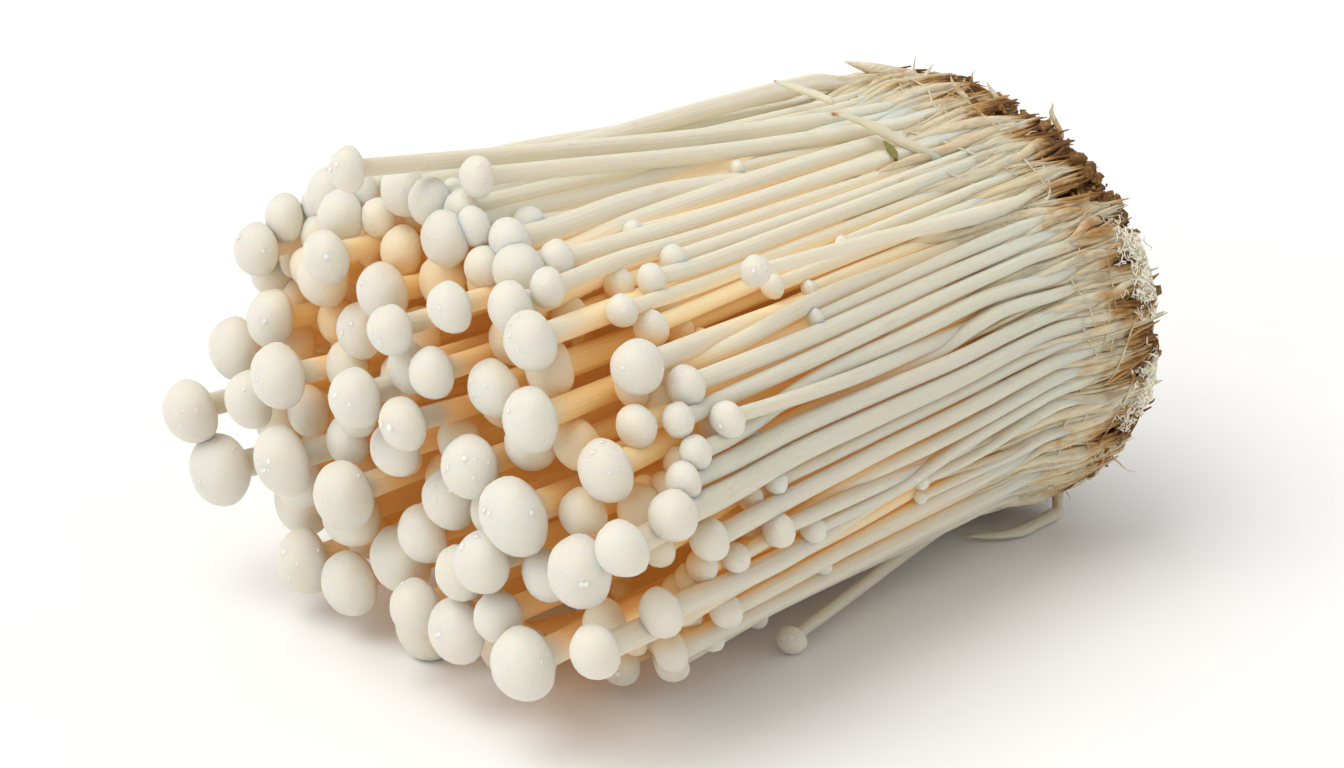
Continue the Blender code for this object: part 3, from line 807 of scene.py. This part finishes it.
loose_stem("top_loose_stem_1", 0.00080, "first", 0.7)
loose_stem("top_loose_stem_2", 0.00066, "last", 0.6)
loose_stem("table_loose_stem", 0.00098, "first", 0.35, TABLE_STEM_ROOT)


# Root mass: the feet of all the stems, grown together into tufts and bound by white
# mycelium. The core is the solid part, ribbed by the stems fused into it, and thinner
# strands lie over it. Both are stained brown between the tufts by the growing medium.
CORE_COLUMNS, CORE_ROWS = 760, 84
CORE_START, CORE_DEPTH, CORE_STAIN = 0.012, 0.0042, 0.42
CORE_RIBS = ((72, 0.55), (114, 0.35), (190, 0.22))
ASLANT = (0.13, 0.21, 0.97)


def each(count, low, high):
    """A random number for each of count things, as a column."""
    return draws.uniform(low, high, (count, 1))


def waves(points, size):
    """Smooth noise of points, about 0 and mostly within 1: sines in random directions."""
    direction = unit(draws.normal(size=(CLOUD_WAVES, 3)))
    pitch = each(CLOUD_WAVES, 0.7, 1.5) * 2 * math.pi / size
    start = draws.uniform(0, 2 * math.pi, CLOUD_WAVES)
    return np.sin(points @ (direction * pitch).T + start).mean(axis=-1) * WAVE_GAIN


def core_surface():
    """Rings on the outline, sunk by the core's depth, with rounded ribs along X.

    Three sets of ribs of rising number lie over each other and wander sideways. The
    surface sinks between the tufts, dives in at its front, and rounds over at its back.
    """
    turn, along = np.meshgrid(turn_ring(CORE_COLUMNS), np.linspace(0, 1, CORE_ROWS))
    x = neck_x - CORE_START + (base_x - 0.001 - neck_x + CORE_START) * along
    drift = 0.05 * np.sin(3 * turn + 2.0) * along + 0.03 * np.sin(7 * turn + 5 * along)
    rib = np.zeros_like(turn)
    for ribs_round, share in CORE_RIBS:
        wander = draws.uniform(0, 2 * math.pi) + 2.2 * np.sin(2 * turn + 3 * along)
        rib += share * np.abs(np.sin(ribs_round / 2 * (turn + drift) + wander))
    lift = -CORE_DEPTH + 0.0016 * rib - 0.0016 * tuft_gap(turn + drift) * along**2
    lift -= 0.004 * ramp(along, 0.18, 0)**2 + 0.0035 * ramp(along, 0.86, 1)**2
    smooth = on_outline(x, turn + drift, lift)
    grid = on_outline(x, turn + drift, lift + 0.00035 * waves(smooth * (0.3, 1, 1), 0.0022))
    ends = np.array([[x[0, 0] - 0.001, *middle], [x[-1, 0] + 0.0004, *middle]])
    return np.vstack([grid.reshape(-1, 3), ends])


def many_closed(grid, ends):
    """Points and faces of many closed skins alike: the rings and two end points of each."""
    count, rows, columns = grid.shape[:3]
    points = np.concatenate([grid.reshape(count, -1, 3), ends], axis=1)
    step = (np.arange(count) * points.shape[1])[:, None, None]
    faces = [(part + step).reshape(-1, part.shape[1]) for part in closed_faces(rows, columns, 0)]
    return points.reshape(-1, 3), faces


def strand_skins(paths, radii, columns):
    """Closed tubes along many paths at once: rings about each path, with pointed ends."""
    tangent, side, up = frames_along(paths, ASLANT)
    angle = turn_ring(columns)[:, None]
    ring = np.cos(angle) * up[:, :, None] + np.sin(angle) * side[:, :, None]
    ends = np.stack([paths[:, 0] - tangent[:, 0] * radii[:, :1],
                     paths[:, -1] + tangent[:, -1] * radii[:, -1:]], axis=1)
    return many_closed(paths[:, :, None] + radii[:, :, None, None] * ring, ends)


def add_strands(name, paths, radii, columns, tone=None, stained=1.0):
    """Strands of root fibre along the paths, each with a tone of its own or all with one."""
    points, faces = strand_skins(paths, radii, columns)
    if tone is None:
        tone = draws.uniform(0, 1, len(paths))
    tones = np.repeat(np.broadcast_to(tone, len(paths)), len(points) // len(paths))
    add_piece(name, points, faces, fibre,
              {"tone": tones, "stain": stained * stain_at(points)})


WHITE_FIBRE, CREAM_FIBRE = (0.77, 0.70, 0.54, 1.0), (0.68, 0.49, 0.26, 1.0)
fibre, shade, feed = start_material("root_fibre", 0.68, Subsurface_Weight=0.35,
                                    Subsurface_Scale=0.0015, Subsurface_Radius=(1.0, 0.55, 0.25),
                                    Specular_IOR_Level=0.3)
place = shade.node("ShaderNodeTexCoord", output=3)
stretched = shade.node("ShaderNodeMapping", {}, {"Vector": place, "Scale": (0.12, 1.0, 1.0)})
streaks = stretched.noise(1500.0, 4.0, 0.6)
clouds = place.noise(220.0, 4.0, 0.6)
stain, tone = shade.attribute("stain"), shade.attribute("tone")
fibre_colour = shade.mix(WHITE_FIBRE, CREAM_FIBRE, (streaks * 1.5 - 0.55 + tone * 0.4).clamped())
soaked = (stain * 1.35 + streaks * 0.65 + clouds * 0.9 - 0.73).clamped()
fibre_colour = shade.mix(fibre_colour, TAN_STAIN, soaked.between(0.10, 0.60))
feed("Base Color", shade.mix(fibre_colour, BROWN_STAIN, soaked.between(0.50, 0.95)))
feed("Normal", shade.bump(streaks * 0.0005 + clouds * 0.0002, 1.0, 1.0))

core_points = core_surface()
core = add_piece("root_core", core_points, closed_faces(CORE_ROWS, CORE_COLUMNS, 0), fibre,
                 {"tone": np.full(len(core_points), 0.5),
                                "stain": np.clip(stain_at(core_points) + CORE_STAIN, 0, 1)})
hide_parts("root_mass")

STRANDS, STRAND_ROWS, STRAND_COLUMNS = 640, 16, 7
strand_turn = each(STRANDS, 0, 2 * math.pi)
strand_start = neck_x + each(STRANDS, -0.030, 0.006)
strand_end = base_x + each(STRANDS, -0.004, 0.0010)
s = np.linspace(0, 1, STRAND_ROWS)[None]
sway = each(STRANDS, -0.10, 0.10) * (1 - s)
sway = sway + 0.012 * np.sin(each(STRANDS, 4, 9) * s + strand_turn * 5)
sway = sway + to_tuft(strand_turn) * each(STRANDS, 0.35, 0.95) * s**1.6
strand_lift = (each(STRANDS, -0.0034, -0.0012) + 0.0016 * np.sin(math.pi * s)
               - 0.0020 * ramp(s, 0.85, 1)**2)
strand_paths = on_outline(strand_start + (strand_end - strand_start) * s, strand_turn + sway,
                          strand_lift)
strand_radii = (each(STRANDS, 0.00035, 0.00105)
                * (0.35 + 0.65 * np.sin(math.pi * np.clip(s * 1.15 + 0.02, 0, 1) * 0.62)))
add_strands("root_strands", strand_paths, strand_radii, STRAND_COLUMNS)

FIBRES, FIBRE_ROWS, FIBRE_COLUMNS = 1300, 13, 5
fibre_turn = each(FIBRES, 0, 2 * math.pi)
fibre_start = neck_x + each(FIBRES, -0.016, 0.013)
fibre_end = base_x + each(FIBRES, -0.004, 0.0025)
s = np.linspace(0, 1, FIBRE_ROWS)[None]
sway = each(FIBRES, -0.05, 0.05) * (1 - s)
sway = sway + 0.006 * np.sin(each(FIBRES, 5, 12) * s + fibre_turn * 9)
sway = sway + to_tuft(fibre_turn) * each(FIBRES, 0.10, 0.80) * s**1.5
fibre_lift = (-0.0007 * (1 - s)**2 + each(FIBRES, -0.0007, 0.0003) * s
              - each(FIBRES, 0.0, 0.0022) * ramp(s, 0.75, 1)**2)
fibre_paths = on_outline(fibre_start + (fibre_end - fibre_start) * s, fibre_turn + sway,
                         fibre_lift)
fibre_radii = each(FIBRES, 0.00012, 0.00046) * (0.3 + 0.7 * np.sin(math.pi * s)**0.5)
add_strands("root_fine_fibres", fibre_paths, fibre_radii, FIBRE_COLUMNS)

# Torn ends: the outermost feet split into ragged flat fibres that stand over the crust. A
# few stubs and one wide flap were torn loose and curl away from the root.
ENDS, END_ROWS, END_COLUMNS = 240, 10, 6
FAR_STUBS, STUB_ROWS, STUB_COLUMNS = 11, 22, 10
s = np.linspace(0, 1, END_ROWS)[None]
end_turn = each(ENDS, 0, 2 * math.pi)
end_start = base_x - each(ENDS, 0.003, 0.009)
end_length = each(ENDS, 0.003, 0.0072)
end_sway = each(ENDS, -0.09, 0.09) * s + 0.01 * np.sin(8 * s + end_turn * 11)
end_lift = -0.0009 + each(ENDS, -0.0042, 0.0001) * s**1.6
end_paths = on_outline(end_start + end_length * s, end_turn + end_sway, end_lift)
add_strands("torn_ends", end_paths, each(ENDS, 0.00012, 0.00038) * (1.02 - s**2), END_COLUMNS)


def stub_values(near, low, high):
    """Chosen values for the stubs in plain sight and random ones for the rest, as a column."""
    return np.append(near, draws.uniform(low, high, FAR_STUBS))[:, None]


s = np.linspace(0, 1, STUB_ROWS)[None]
stub_turn = np.radians(stub_values((80, 85, 102, 104, 121, 129.5), -30, 200))
stub_start = np.append((0.0575, 0.0530, 0.0530, 0.0580, 0.0600, 0.0405),
                       base_x - draws.uniform(0.0005, 0.008, FAR_STUBS))[:, None]
stub_run = stub_values((-0.0085, 0.0050, -0.0025, -0.0015, -0.0005, -0.0085), -0.0045, 0.0030)
stub_rise = stub_values((0.0044, 0.0028, 0.0044, 0.0032, 0.0045, 0.0022), 0.0012, 0.0028)
stub_bend = stub_values((-0.157, 0.02, -0.06, -0.03, -0.10, -0.14), -0.05, 0.05)
stub_curl = 0.012 * np.sin(stub_values((3, 5, 6, 5, 7, 4), 2, 8) * s)
stub_paths = on_outline(stub_start + stub_run * s, stub_turn + stub_bend * s + stub_curl,
                        -0.0012 + stub_rise * s**1.3)
stub_thick = stub_values((0.00140, 0.00045, 0.00060, 0.00050, 0.00050, 0.00055), 0.00022, 0.0005)
add_strands("torn_stubs", stub_paths, stub_thick * (1.04 - s**2.5), STUB_COLUMNS, -0.3, 0.30)

# Mycelium: patches of white felt on the rim, each a tangle of very fine curly threads.
PATCHES, PATCH_THREADS, FELT_ROWS, FELT_COLUMNS = 22, 60, 9, 4
NEAR_PATCHES = (151, 156, 161, 166, 187, 192, 198, 226)
FELT_THREADS = PATCHES * PATCH_THREADS


def felt_curl(size):
    """A sideways wave along each thread of the felt, of its own pitch and start."""
    return size * np.sin(each(FELT_THREADS, 4, 14) * s + each(FELT_THREADS, 0, 6))


patch_turn = draws.uniform(-2.0, 1.9, PATCHES - len(NEAR_PATCHES))
patch_turn = np.append(np.radians(NEAR_PATCHES), patch_turn)
patch_turn = np.repeat(patch_turn, PATCH_THREADS)[:, None]
patch_x = np.repeat(base_x - draws.uniform(-0.0005, 0.0045, PATCHES), PATCH_THREADS)[:, None]
s = np.linspace(0, 1, FELT_ROWS)[None]
felt_x = (patch_x + draws.normal(0, 0.0014, (FELT_THREADS, 1))
          + each(FELT_THREADS, -0.0022, 0.0022) * s)
felt_turn = (patch_turn + draws.normal(0, 0.050, (FELT_THREADS, 1))
             + each(FELT_THREADS, -0.08, 0.08) * s)
felt_turn = felt_turn + felt_curl(0.018)
felt_x = felt_x + felt_curl(0.0006)
felt_lift = each(FELT_THREADS, -0.0010, 0.0002) + 0.0006 * np.sin(math.pi * s)
felt_lift = felt_lift - 0.0030 * ramp(felt_x, base_x - 0.0005, base_x + 0.0025)
felt_radii = each(FELT_THREADS, 0.00006, 0.00013) * (1.1 - np.abs(2 * s - 1)**3)
felt_points, felt_faces = strand_skins(on_outline(felt_x, felt_turn, felt_lift), felt_radii,
                                       FELT_COLUMNS)
# The felt's small warm emission is a painted glow. It lifts the shade among its threads and stands in
# for light passing through them.
mycelium = start_material("mycelium", 0.8, Subsurface_Weight=0.4, Subsurface_Scale=0.001,
                          Base_Color=(0.90, 0.84, 0.72, 1.0), Specular_IOR_Level=0.2,
                          Emission_Color=(0.10, 0.085, 0.06, 1.0), Emission_Strength=1.0)[0]
add_piece("mycelium_felt", felt_points, felt_faces, mycelium)

# Hairs and cross threads: fine mycelium and torn stem fibres. Threads lie slantwise over
# the stems near the root end, and short curly hairs stand out from it.
THREADS, HAIRS, THREAD_ROWS, THREAD_COLUMNS = 120, 44, 14, 6
s = np.linspace(0, 1, THREAD_ROWS)[None]
thread_x = base_x - each(THREADS, 0.002, 0.022)
thread_turn = each(THREADS, 0, 2 * math.pi)
thread_run = draws.choice((-1, 1), (THREADS, 1)) * each(THREADS, 0.15, 0.50)
thread_paths = on_outline(thread_x - each(THREADS, -0.004, 0.012) * s,
                          thread_turn + thread_run * s + 0.02 * np.sin(9 * s + thread_turn * 7),
                          0.0006 * np.sin(math.pi * s) + each(THREADS, -0.0008, 0.0))
thread_radii = each(THREADS, 0.00010, 0.00026) * (1 - 0.6 * np.abs(2 * s - 1)**3)
add_strands("cross_threads", thread_paths, thread_radii, THREAD_COLUMNS)

hair_turn = each(HAIRS, 0, 2 * math.pi)
hair_x = base_x - np.abs(draws.normal(0, 0.006, (HAIRS, 1)))
hair_root = on_outline(hair_x, hair_turn, -0.0008)
hair_away = np.hstack([each(HAIRS, -0.7, 0.9), np.cos(hair_turn), np.sin(hair_turn)])
hair_away = unit(hair_away + draws.normal(0, 0.35, (HAIRS, 3)))[:, None]
hair_curl = np.cross(hair_away, draws.normal(size=(HAIRS, 3))[:, None])
hair_length = draws.gamma(4.0, 0.0005, (HAIRS, 1)) + 0.0010
along = s[..., None]
hair_bend = 0.35 * hair_curl * along**2 + 0.05 * hair_away[..., [1, 2, 0]] * np.sin(11 * along)
hair_paths = hair_root + (hair_away * along + hair_bend) * hair_length[:, :, None]
hair_paths[..., 2] = np.maximum(hair_paths[..., 2], TABLE_GAP)
hair_radii = each(HAIRS, 0.00008, 0.00022) * (1.1 - s**2)
add_strands("root_hairs", hair_paths, hair_radii, THREAD_COLUMNS, -0.2, 0.40)

# Crust: crumbs of the growing medium, bran and sawdust held together by mycelium, which
# stays on the root end where the bunch was broken out of its bottle.
CRUST_COLUMNS, CRUST_ROWS = 420, 96
RIM_SHARE, CRUST_SINK = 0.22, 0.0022
CRUMBS, CLUSTERS = 4600, 48
ON_RIM, IN_HEAPS = 0.62, 0.34
NEAR_HEAPS = (106, 119, 131, 136, 140, 144, 147, 172, 177, 181, 204, 209, 214, 219)


def crust_surface():
    """Rings from the rim over its edge and in to the middle of the end face.

    The first share of the rings rounds the edge in a quarter circle. The rest shrink
    to the middle. Lumps of four sizes are added along the outward direction.
    """
    turn, along = np.meshgrid(turn_ring(CRUST_COLUMNS), np.linspace(0, 1, CRUST_ROWS))
    over_edge = ramp(along, 0, RIM_SHARE) * math.pi / 2
    edge, fall = np.sin(over_edge), 1 - np.cos(over_edge)
    front = (base_x - CRUST_SINK - 0.0035 * tuft_gap(turn) - 0.0012 * np.sin(17 * turn)
             - 0.0009 * np.sin(41 * turn + 2))
    x = front + (end_x - CRUST_SINK - front) * edge
    shrink = ramp(along, 1, RIM_SHARE)
    grid = on_outline(x, turn, -CRUST_SINK - 0.0024 * fall)
    grid[..., 1:] = middle + (grid[..., 1:] - middle) * shrink[..., None]
    lumps = (0.0010 * waves(grid, 0.016) + 0.0008 * np.abs(waves(grid, 0.006))
             + 0.0005 * np.abs(waves(grid, 0.0026)) + 0.0003 * waves(grid, 0.0013))
    lumps *= ramp(along, 0, 0.03) * ramp(shrink, 0, 0.04)
    outward = np.stack([edge, (1 - edge) * np.cos(turn), (1 - edge) * np.sin(turn)], axis=2)
    grid += outward * lumps[..., None]
    grid[..., 2] = np.maximum(grid[..., 2], TABLE_GAP)
    ends = np.array([[base_x - 0.006, *middle], [grid[-1, :, 0].mean(), *middle]])
    grid[-1] = ends[1] + (grid[-2] - ends[1]) * 0.4
    return np.vstack([grid.reshape(-1, 3), ends])


def crumb_lumps(centres, sizes):
    """Lumps of twenty faces at the centres, each stretched, turned and dented its own way."""
    phi = (1 + math.sqrt(5)) / 2
    corners = np.array([(-1, phi, 0), (1, phi, 0), (-1, -phi, 0), (1, -phi, 0),
                        (0, -1, phi), (0, 1, phi), (0, -1, -phi), (0, 1, -phi),
                        (phi, 0, -1), (phi, 0, 1), (-phi, 0, -1), (-phi, 0, 1)])
    corners = corners / math.hypot(1, phi)
    faces = np.array([(0, 11, 5), (0, 5, 1), (0, 1, 7), (0, 7, 10), (0, 10, 11), (1, 5, 9), (5, 11, 4),
                      (11, 10, 2), (10, 7, 6), (7, 1, 8), (3, 9, 4), (3, 4, 2), (3, 2, 6), (3, 6, 8),
                      (3, 8, 9), (4, 9, 5), (2, 4, 11), (6, 2, 10), (8, 6, 7), (9, 8, 1)])
    count = len(centres)
    turn, _ = np.linalg.qr(draws.normal(size=(count, 3, 3)))
    turn[np.linalg.det(turn) < 0, :, 0] *= -1
    stretch = draws.uniform(0.55, 1.35, (count, 1, 3))
    shape = corners * stretch * draws.uniform(0.75, 1.2, (count, len(corners), 1))
    points = np.einsum("nij,nkj->nki", turn, shape) * sizes[:, None, None] + centres[:, None]
    step = (np.arange(count) * len(corners))[:, None, None]
    return points.reshape(-1, 3), [(faces + step).reshape(-1, 3)]


CRUMB_DARK, CRUMB_BROWN = (0.14, 0.066, 0.020, 1.0), (0.37, 0.195, 0.065, 1.0)
CRUMB_GOLD, MYCELIUM_WHITE = (0.55, 0.36, 0.15, 1.0), (0.82, 0.77, 0.66, 1.0)
medium, shade, feed = start_material("growing_medium", 0.88, Specular_IOR_Level=0.2)
place = shade.node("ShaderNodeTexCoord", output=3)
coarse, fine = place.noise(420.0, 4.0, 0.65), place.noise(1700.0, 3.0, 0.6)
felt = place.noise(95.0, 5.0, 0.62)
crumb, tone = shade.attribute("crumb"), shade.attribute("tone")
brown = shade.mix(CRUMB_DARK, CRUMB_BROWN, (coarse * 2.4 - 0.75).clamped())
brown = shade.mix(brown, CRUMB_GOLD, ((fine - 0.52) * 6.0 + tone * 0.8 - 0.6).clamped())
white = ((felt - 0.47) * 9.0 + (fine - 0.5) * 2.0).clamped() * (1 - crumb)
feed("Base Color", shade.mix(brown, MYCELIUM_WHITE, white))
feed("Normal", shade.bump(coarse * 0.0012 + fine * 0.0005, 1.0, 1.0))

crust_points = crust_surface()
crust_numbers = {"tone": np.zeros(len(crust_points)), "crumb": np.zeros(len(crust_points))}
crust = add_piece("substrate_skin", crust_points, closed_faces(CRUST_ROWS, CRUST_COLUMNS, 0),
                  medium, crust_numbers)
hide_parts("substrate_crust")

rim_turn = draws.uniform(0, 2 * math.pi, CRUMBS)
rim_turn = rim_turn - 0.5 * to_tuft(rim_turn + math.pi / TUFTS)
rim_x = end_x - 0.0015 - np.abs(draws.normal(0, 0.0042, CRUMBS))
rim_lift = draws.uniform(-0.0030, -0.0008, CRUMBS)
rim_lift = rim_lift - 0.0022 * ramp(rim_x, base_x - 0.001, base_x + 0.0035)
rim_place = on_outline(rim_x, rim_turn, rim_lift)
face_place = on_outline(end_x + draws.uniform(-0.0026, -0.0010, CRUMBS), rim_turn, -0.004)
face_place[:, 1:] = middle + (face_place[:, 1:] - middle) * np.sqrt(each(CRUMBS, 0, 1))
crumb_centres = np.where(each(CRUMBS, 0, 1) < ON_RIM, rim_place, face_place)
heap = draws.integers(0, CLUSTERS, CRUMBS)
heap_turn = draws.uniform(-2.3, 1.8, CLUSTERS - len(NEAR_HEAPS))
heap_turn = heap_turn - 0.8 * to_tuft(heap_turn + math.pi / TUFTS)
heap_turn = np.append(np.radians(NEAR_HEAPS), heap_turn)[heap] + draws.normal(0, 0.040, CRUMBS)
heap_x = (base_x - draws.uniform(0.0, 0.0075, CLUSTERS))[heap] + draws.normal(0, 0.0013, CRUMBS)
heaped = each(CRUMBS, 0, 1) < IN_HEAPS
heap_lift = draws.uniform(-0.0020, -0.0001, CRUMBS)
heap_lift = heap_lift - 0.0025 * ramp(heap_x, base_x, base_x + 0.003)
crumb_centres = np.where(heaped, on_outline(heap_x, heap_turn, heap_lift), crumb_centres)
crumb_points, crumb_faces = crumb_lumps(crumb_centres, draws.gamma(3.0, 0.00013, CRUMBS) + 0.00012)
add_piece("substrate_crumbs", crumb_points, crumb_faces, medium,
          {"tone": np.repeat(draws.uniform(0, 1, CRUMBS), 12), "crumb": np.ones(len(crumb_points))})

# Small things on the bunch: beads of water on the caps, and an olive scrap of leaf
# with a brown grain beside it, both stuck to the stems by damp.
BEADS, BEAD_ROWS, BEAD_COLUMNS = 190, 7, 10
BEAD_FLATNESS, BEAD_SINK = 0.50, 0.00005
SCRAP_X, SCRAP_TURN, SCRAP_RAISE = 0.0272, math.radians(110.5), 0.0011
SCRAP_LONG, SCRAP_WIDE, SCRAP_THICK, SCRAP_HOLLOW = 0.0022, 0.00085, 0.0012, 0.0003
SCRAP_DARK, SCRAP_PALE = (0.16, 0.14, 0.02, 1.0), (0.32, 0.28, 0.06, 1.0)
GRAIN_TURN, GRAIN_RADIUS = SCRAP_TURN + math.radians(2.6), 0.00032


def bead_skins(places, outward, radii, flatness):
    """Flattened balls at the places, each squeezed along its outward direction."""
    latitude = np.linspace(-math.pi / 2, math.pi / 2, BEAD_ROWS + 2)[1:-1, None, None]
    angle = turn_ring(BEAD_COLUMNS)[:, None]
    side = unit(np.cross(outward, (0.3, 0.5, 0.8)))
    up = np.cross(side, outward)
    ring = np.cos(angle) * up[:, None] + np.sin(angle) * side[:, None]
    grid = (np.cos(latitude) * ring[:, None]
            + flatness * np.sin(latitude) * outward[:, None, None])
    ends = np.stack([-flatness * outward, flatness * outward], axis=1)
    centre, radius = places[:, None], radii[:, None, None]
    return many_closed(grid * radius[..., None] + centre[:, None], ends * radius + centre)


water = start_material("water_bead", 0.10, IOR=1.33, Coat_Weight=1.0,
                       Base_Color=(0.86, 0.85, 0.79, 1.0))[0]
picked = draws.choice(len(dome_points), BEADS, replace=False)
bead_places = dome_points[picked] - BEAD_SINK * dome_outward[picked]
bead_radii = draws.gamma(5.0, 0.00004, BEADS) + 0.00010
bead_points, bead_faces = bead_skins(bead_places, dome_outward[picked], bead_radii,
                                     BEAD_FLATNESS)
add_piece("water_beads", bead_points, bead_faces, water)

olive, shade, feed = start_material("olive_scrap", 0.6)
place = shade.node("ShaderNodeTexCoord", output=3)
feed("Base Color", shade.mix(SCRAP_DARK, SCRAP_PALE, place.noise(1400.0, 3.0)))
scrap_place = on_outline(SCRAP_X, SCRAP_TURN, SCRAP_RAISE)
scrap_out = unit(scrap_place - (SCRAP_X, *middle))
scrap_long = unit(np.cross(scrap_out, (0.75, -0.35, 0.2)))
scrap_wide = np.cross(scrap_long, scrap_out)
scrap_points, scrap_faces = bead_skins(scrap_place[None], scrap_out[None], np.array([1.0]), 0.12)
from_place = (scrap_points - scrap_place)[:, None]
length, width, height = (from_place @ way for way in (scrap_long, scrap_wide, scrap_out))
scrap_points = (scrap_place + SCRAP_LONG * length * scrap_long
                + SCRAP_WIDE * width * (1 - 0.45 * length) * scrap_wide
                + (SCRAP_THICK * height + SCRAP_HOLLOW * width**2) * scrap_out)
add_piece("olive_scrap", scrap_points, scrap_faces, olive)

grain_place = on_outline(SCRAP_X - 0.0002, GRAIN_TURN, 0.0004)
grain_points, grain_faces = bead_skins(grain_place[None], scrap_out[None],
                                       np.array([GRAIN_RADIUS]), 0.7)
add_piece("brown_grain", grain_points, grain_faces, medium,
          {"tone": np.zeros(len(grain_points)), "crumb": np.ones(len(grain_points))})
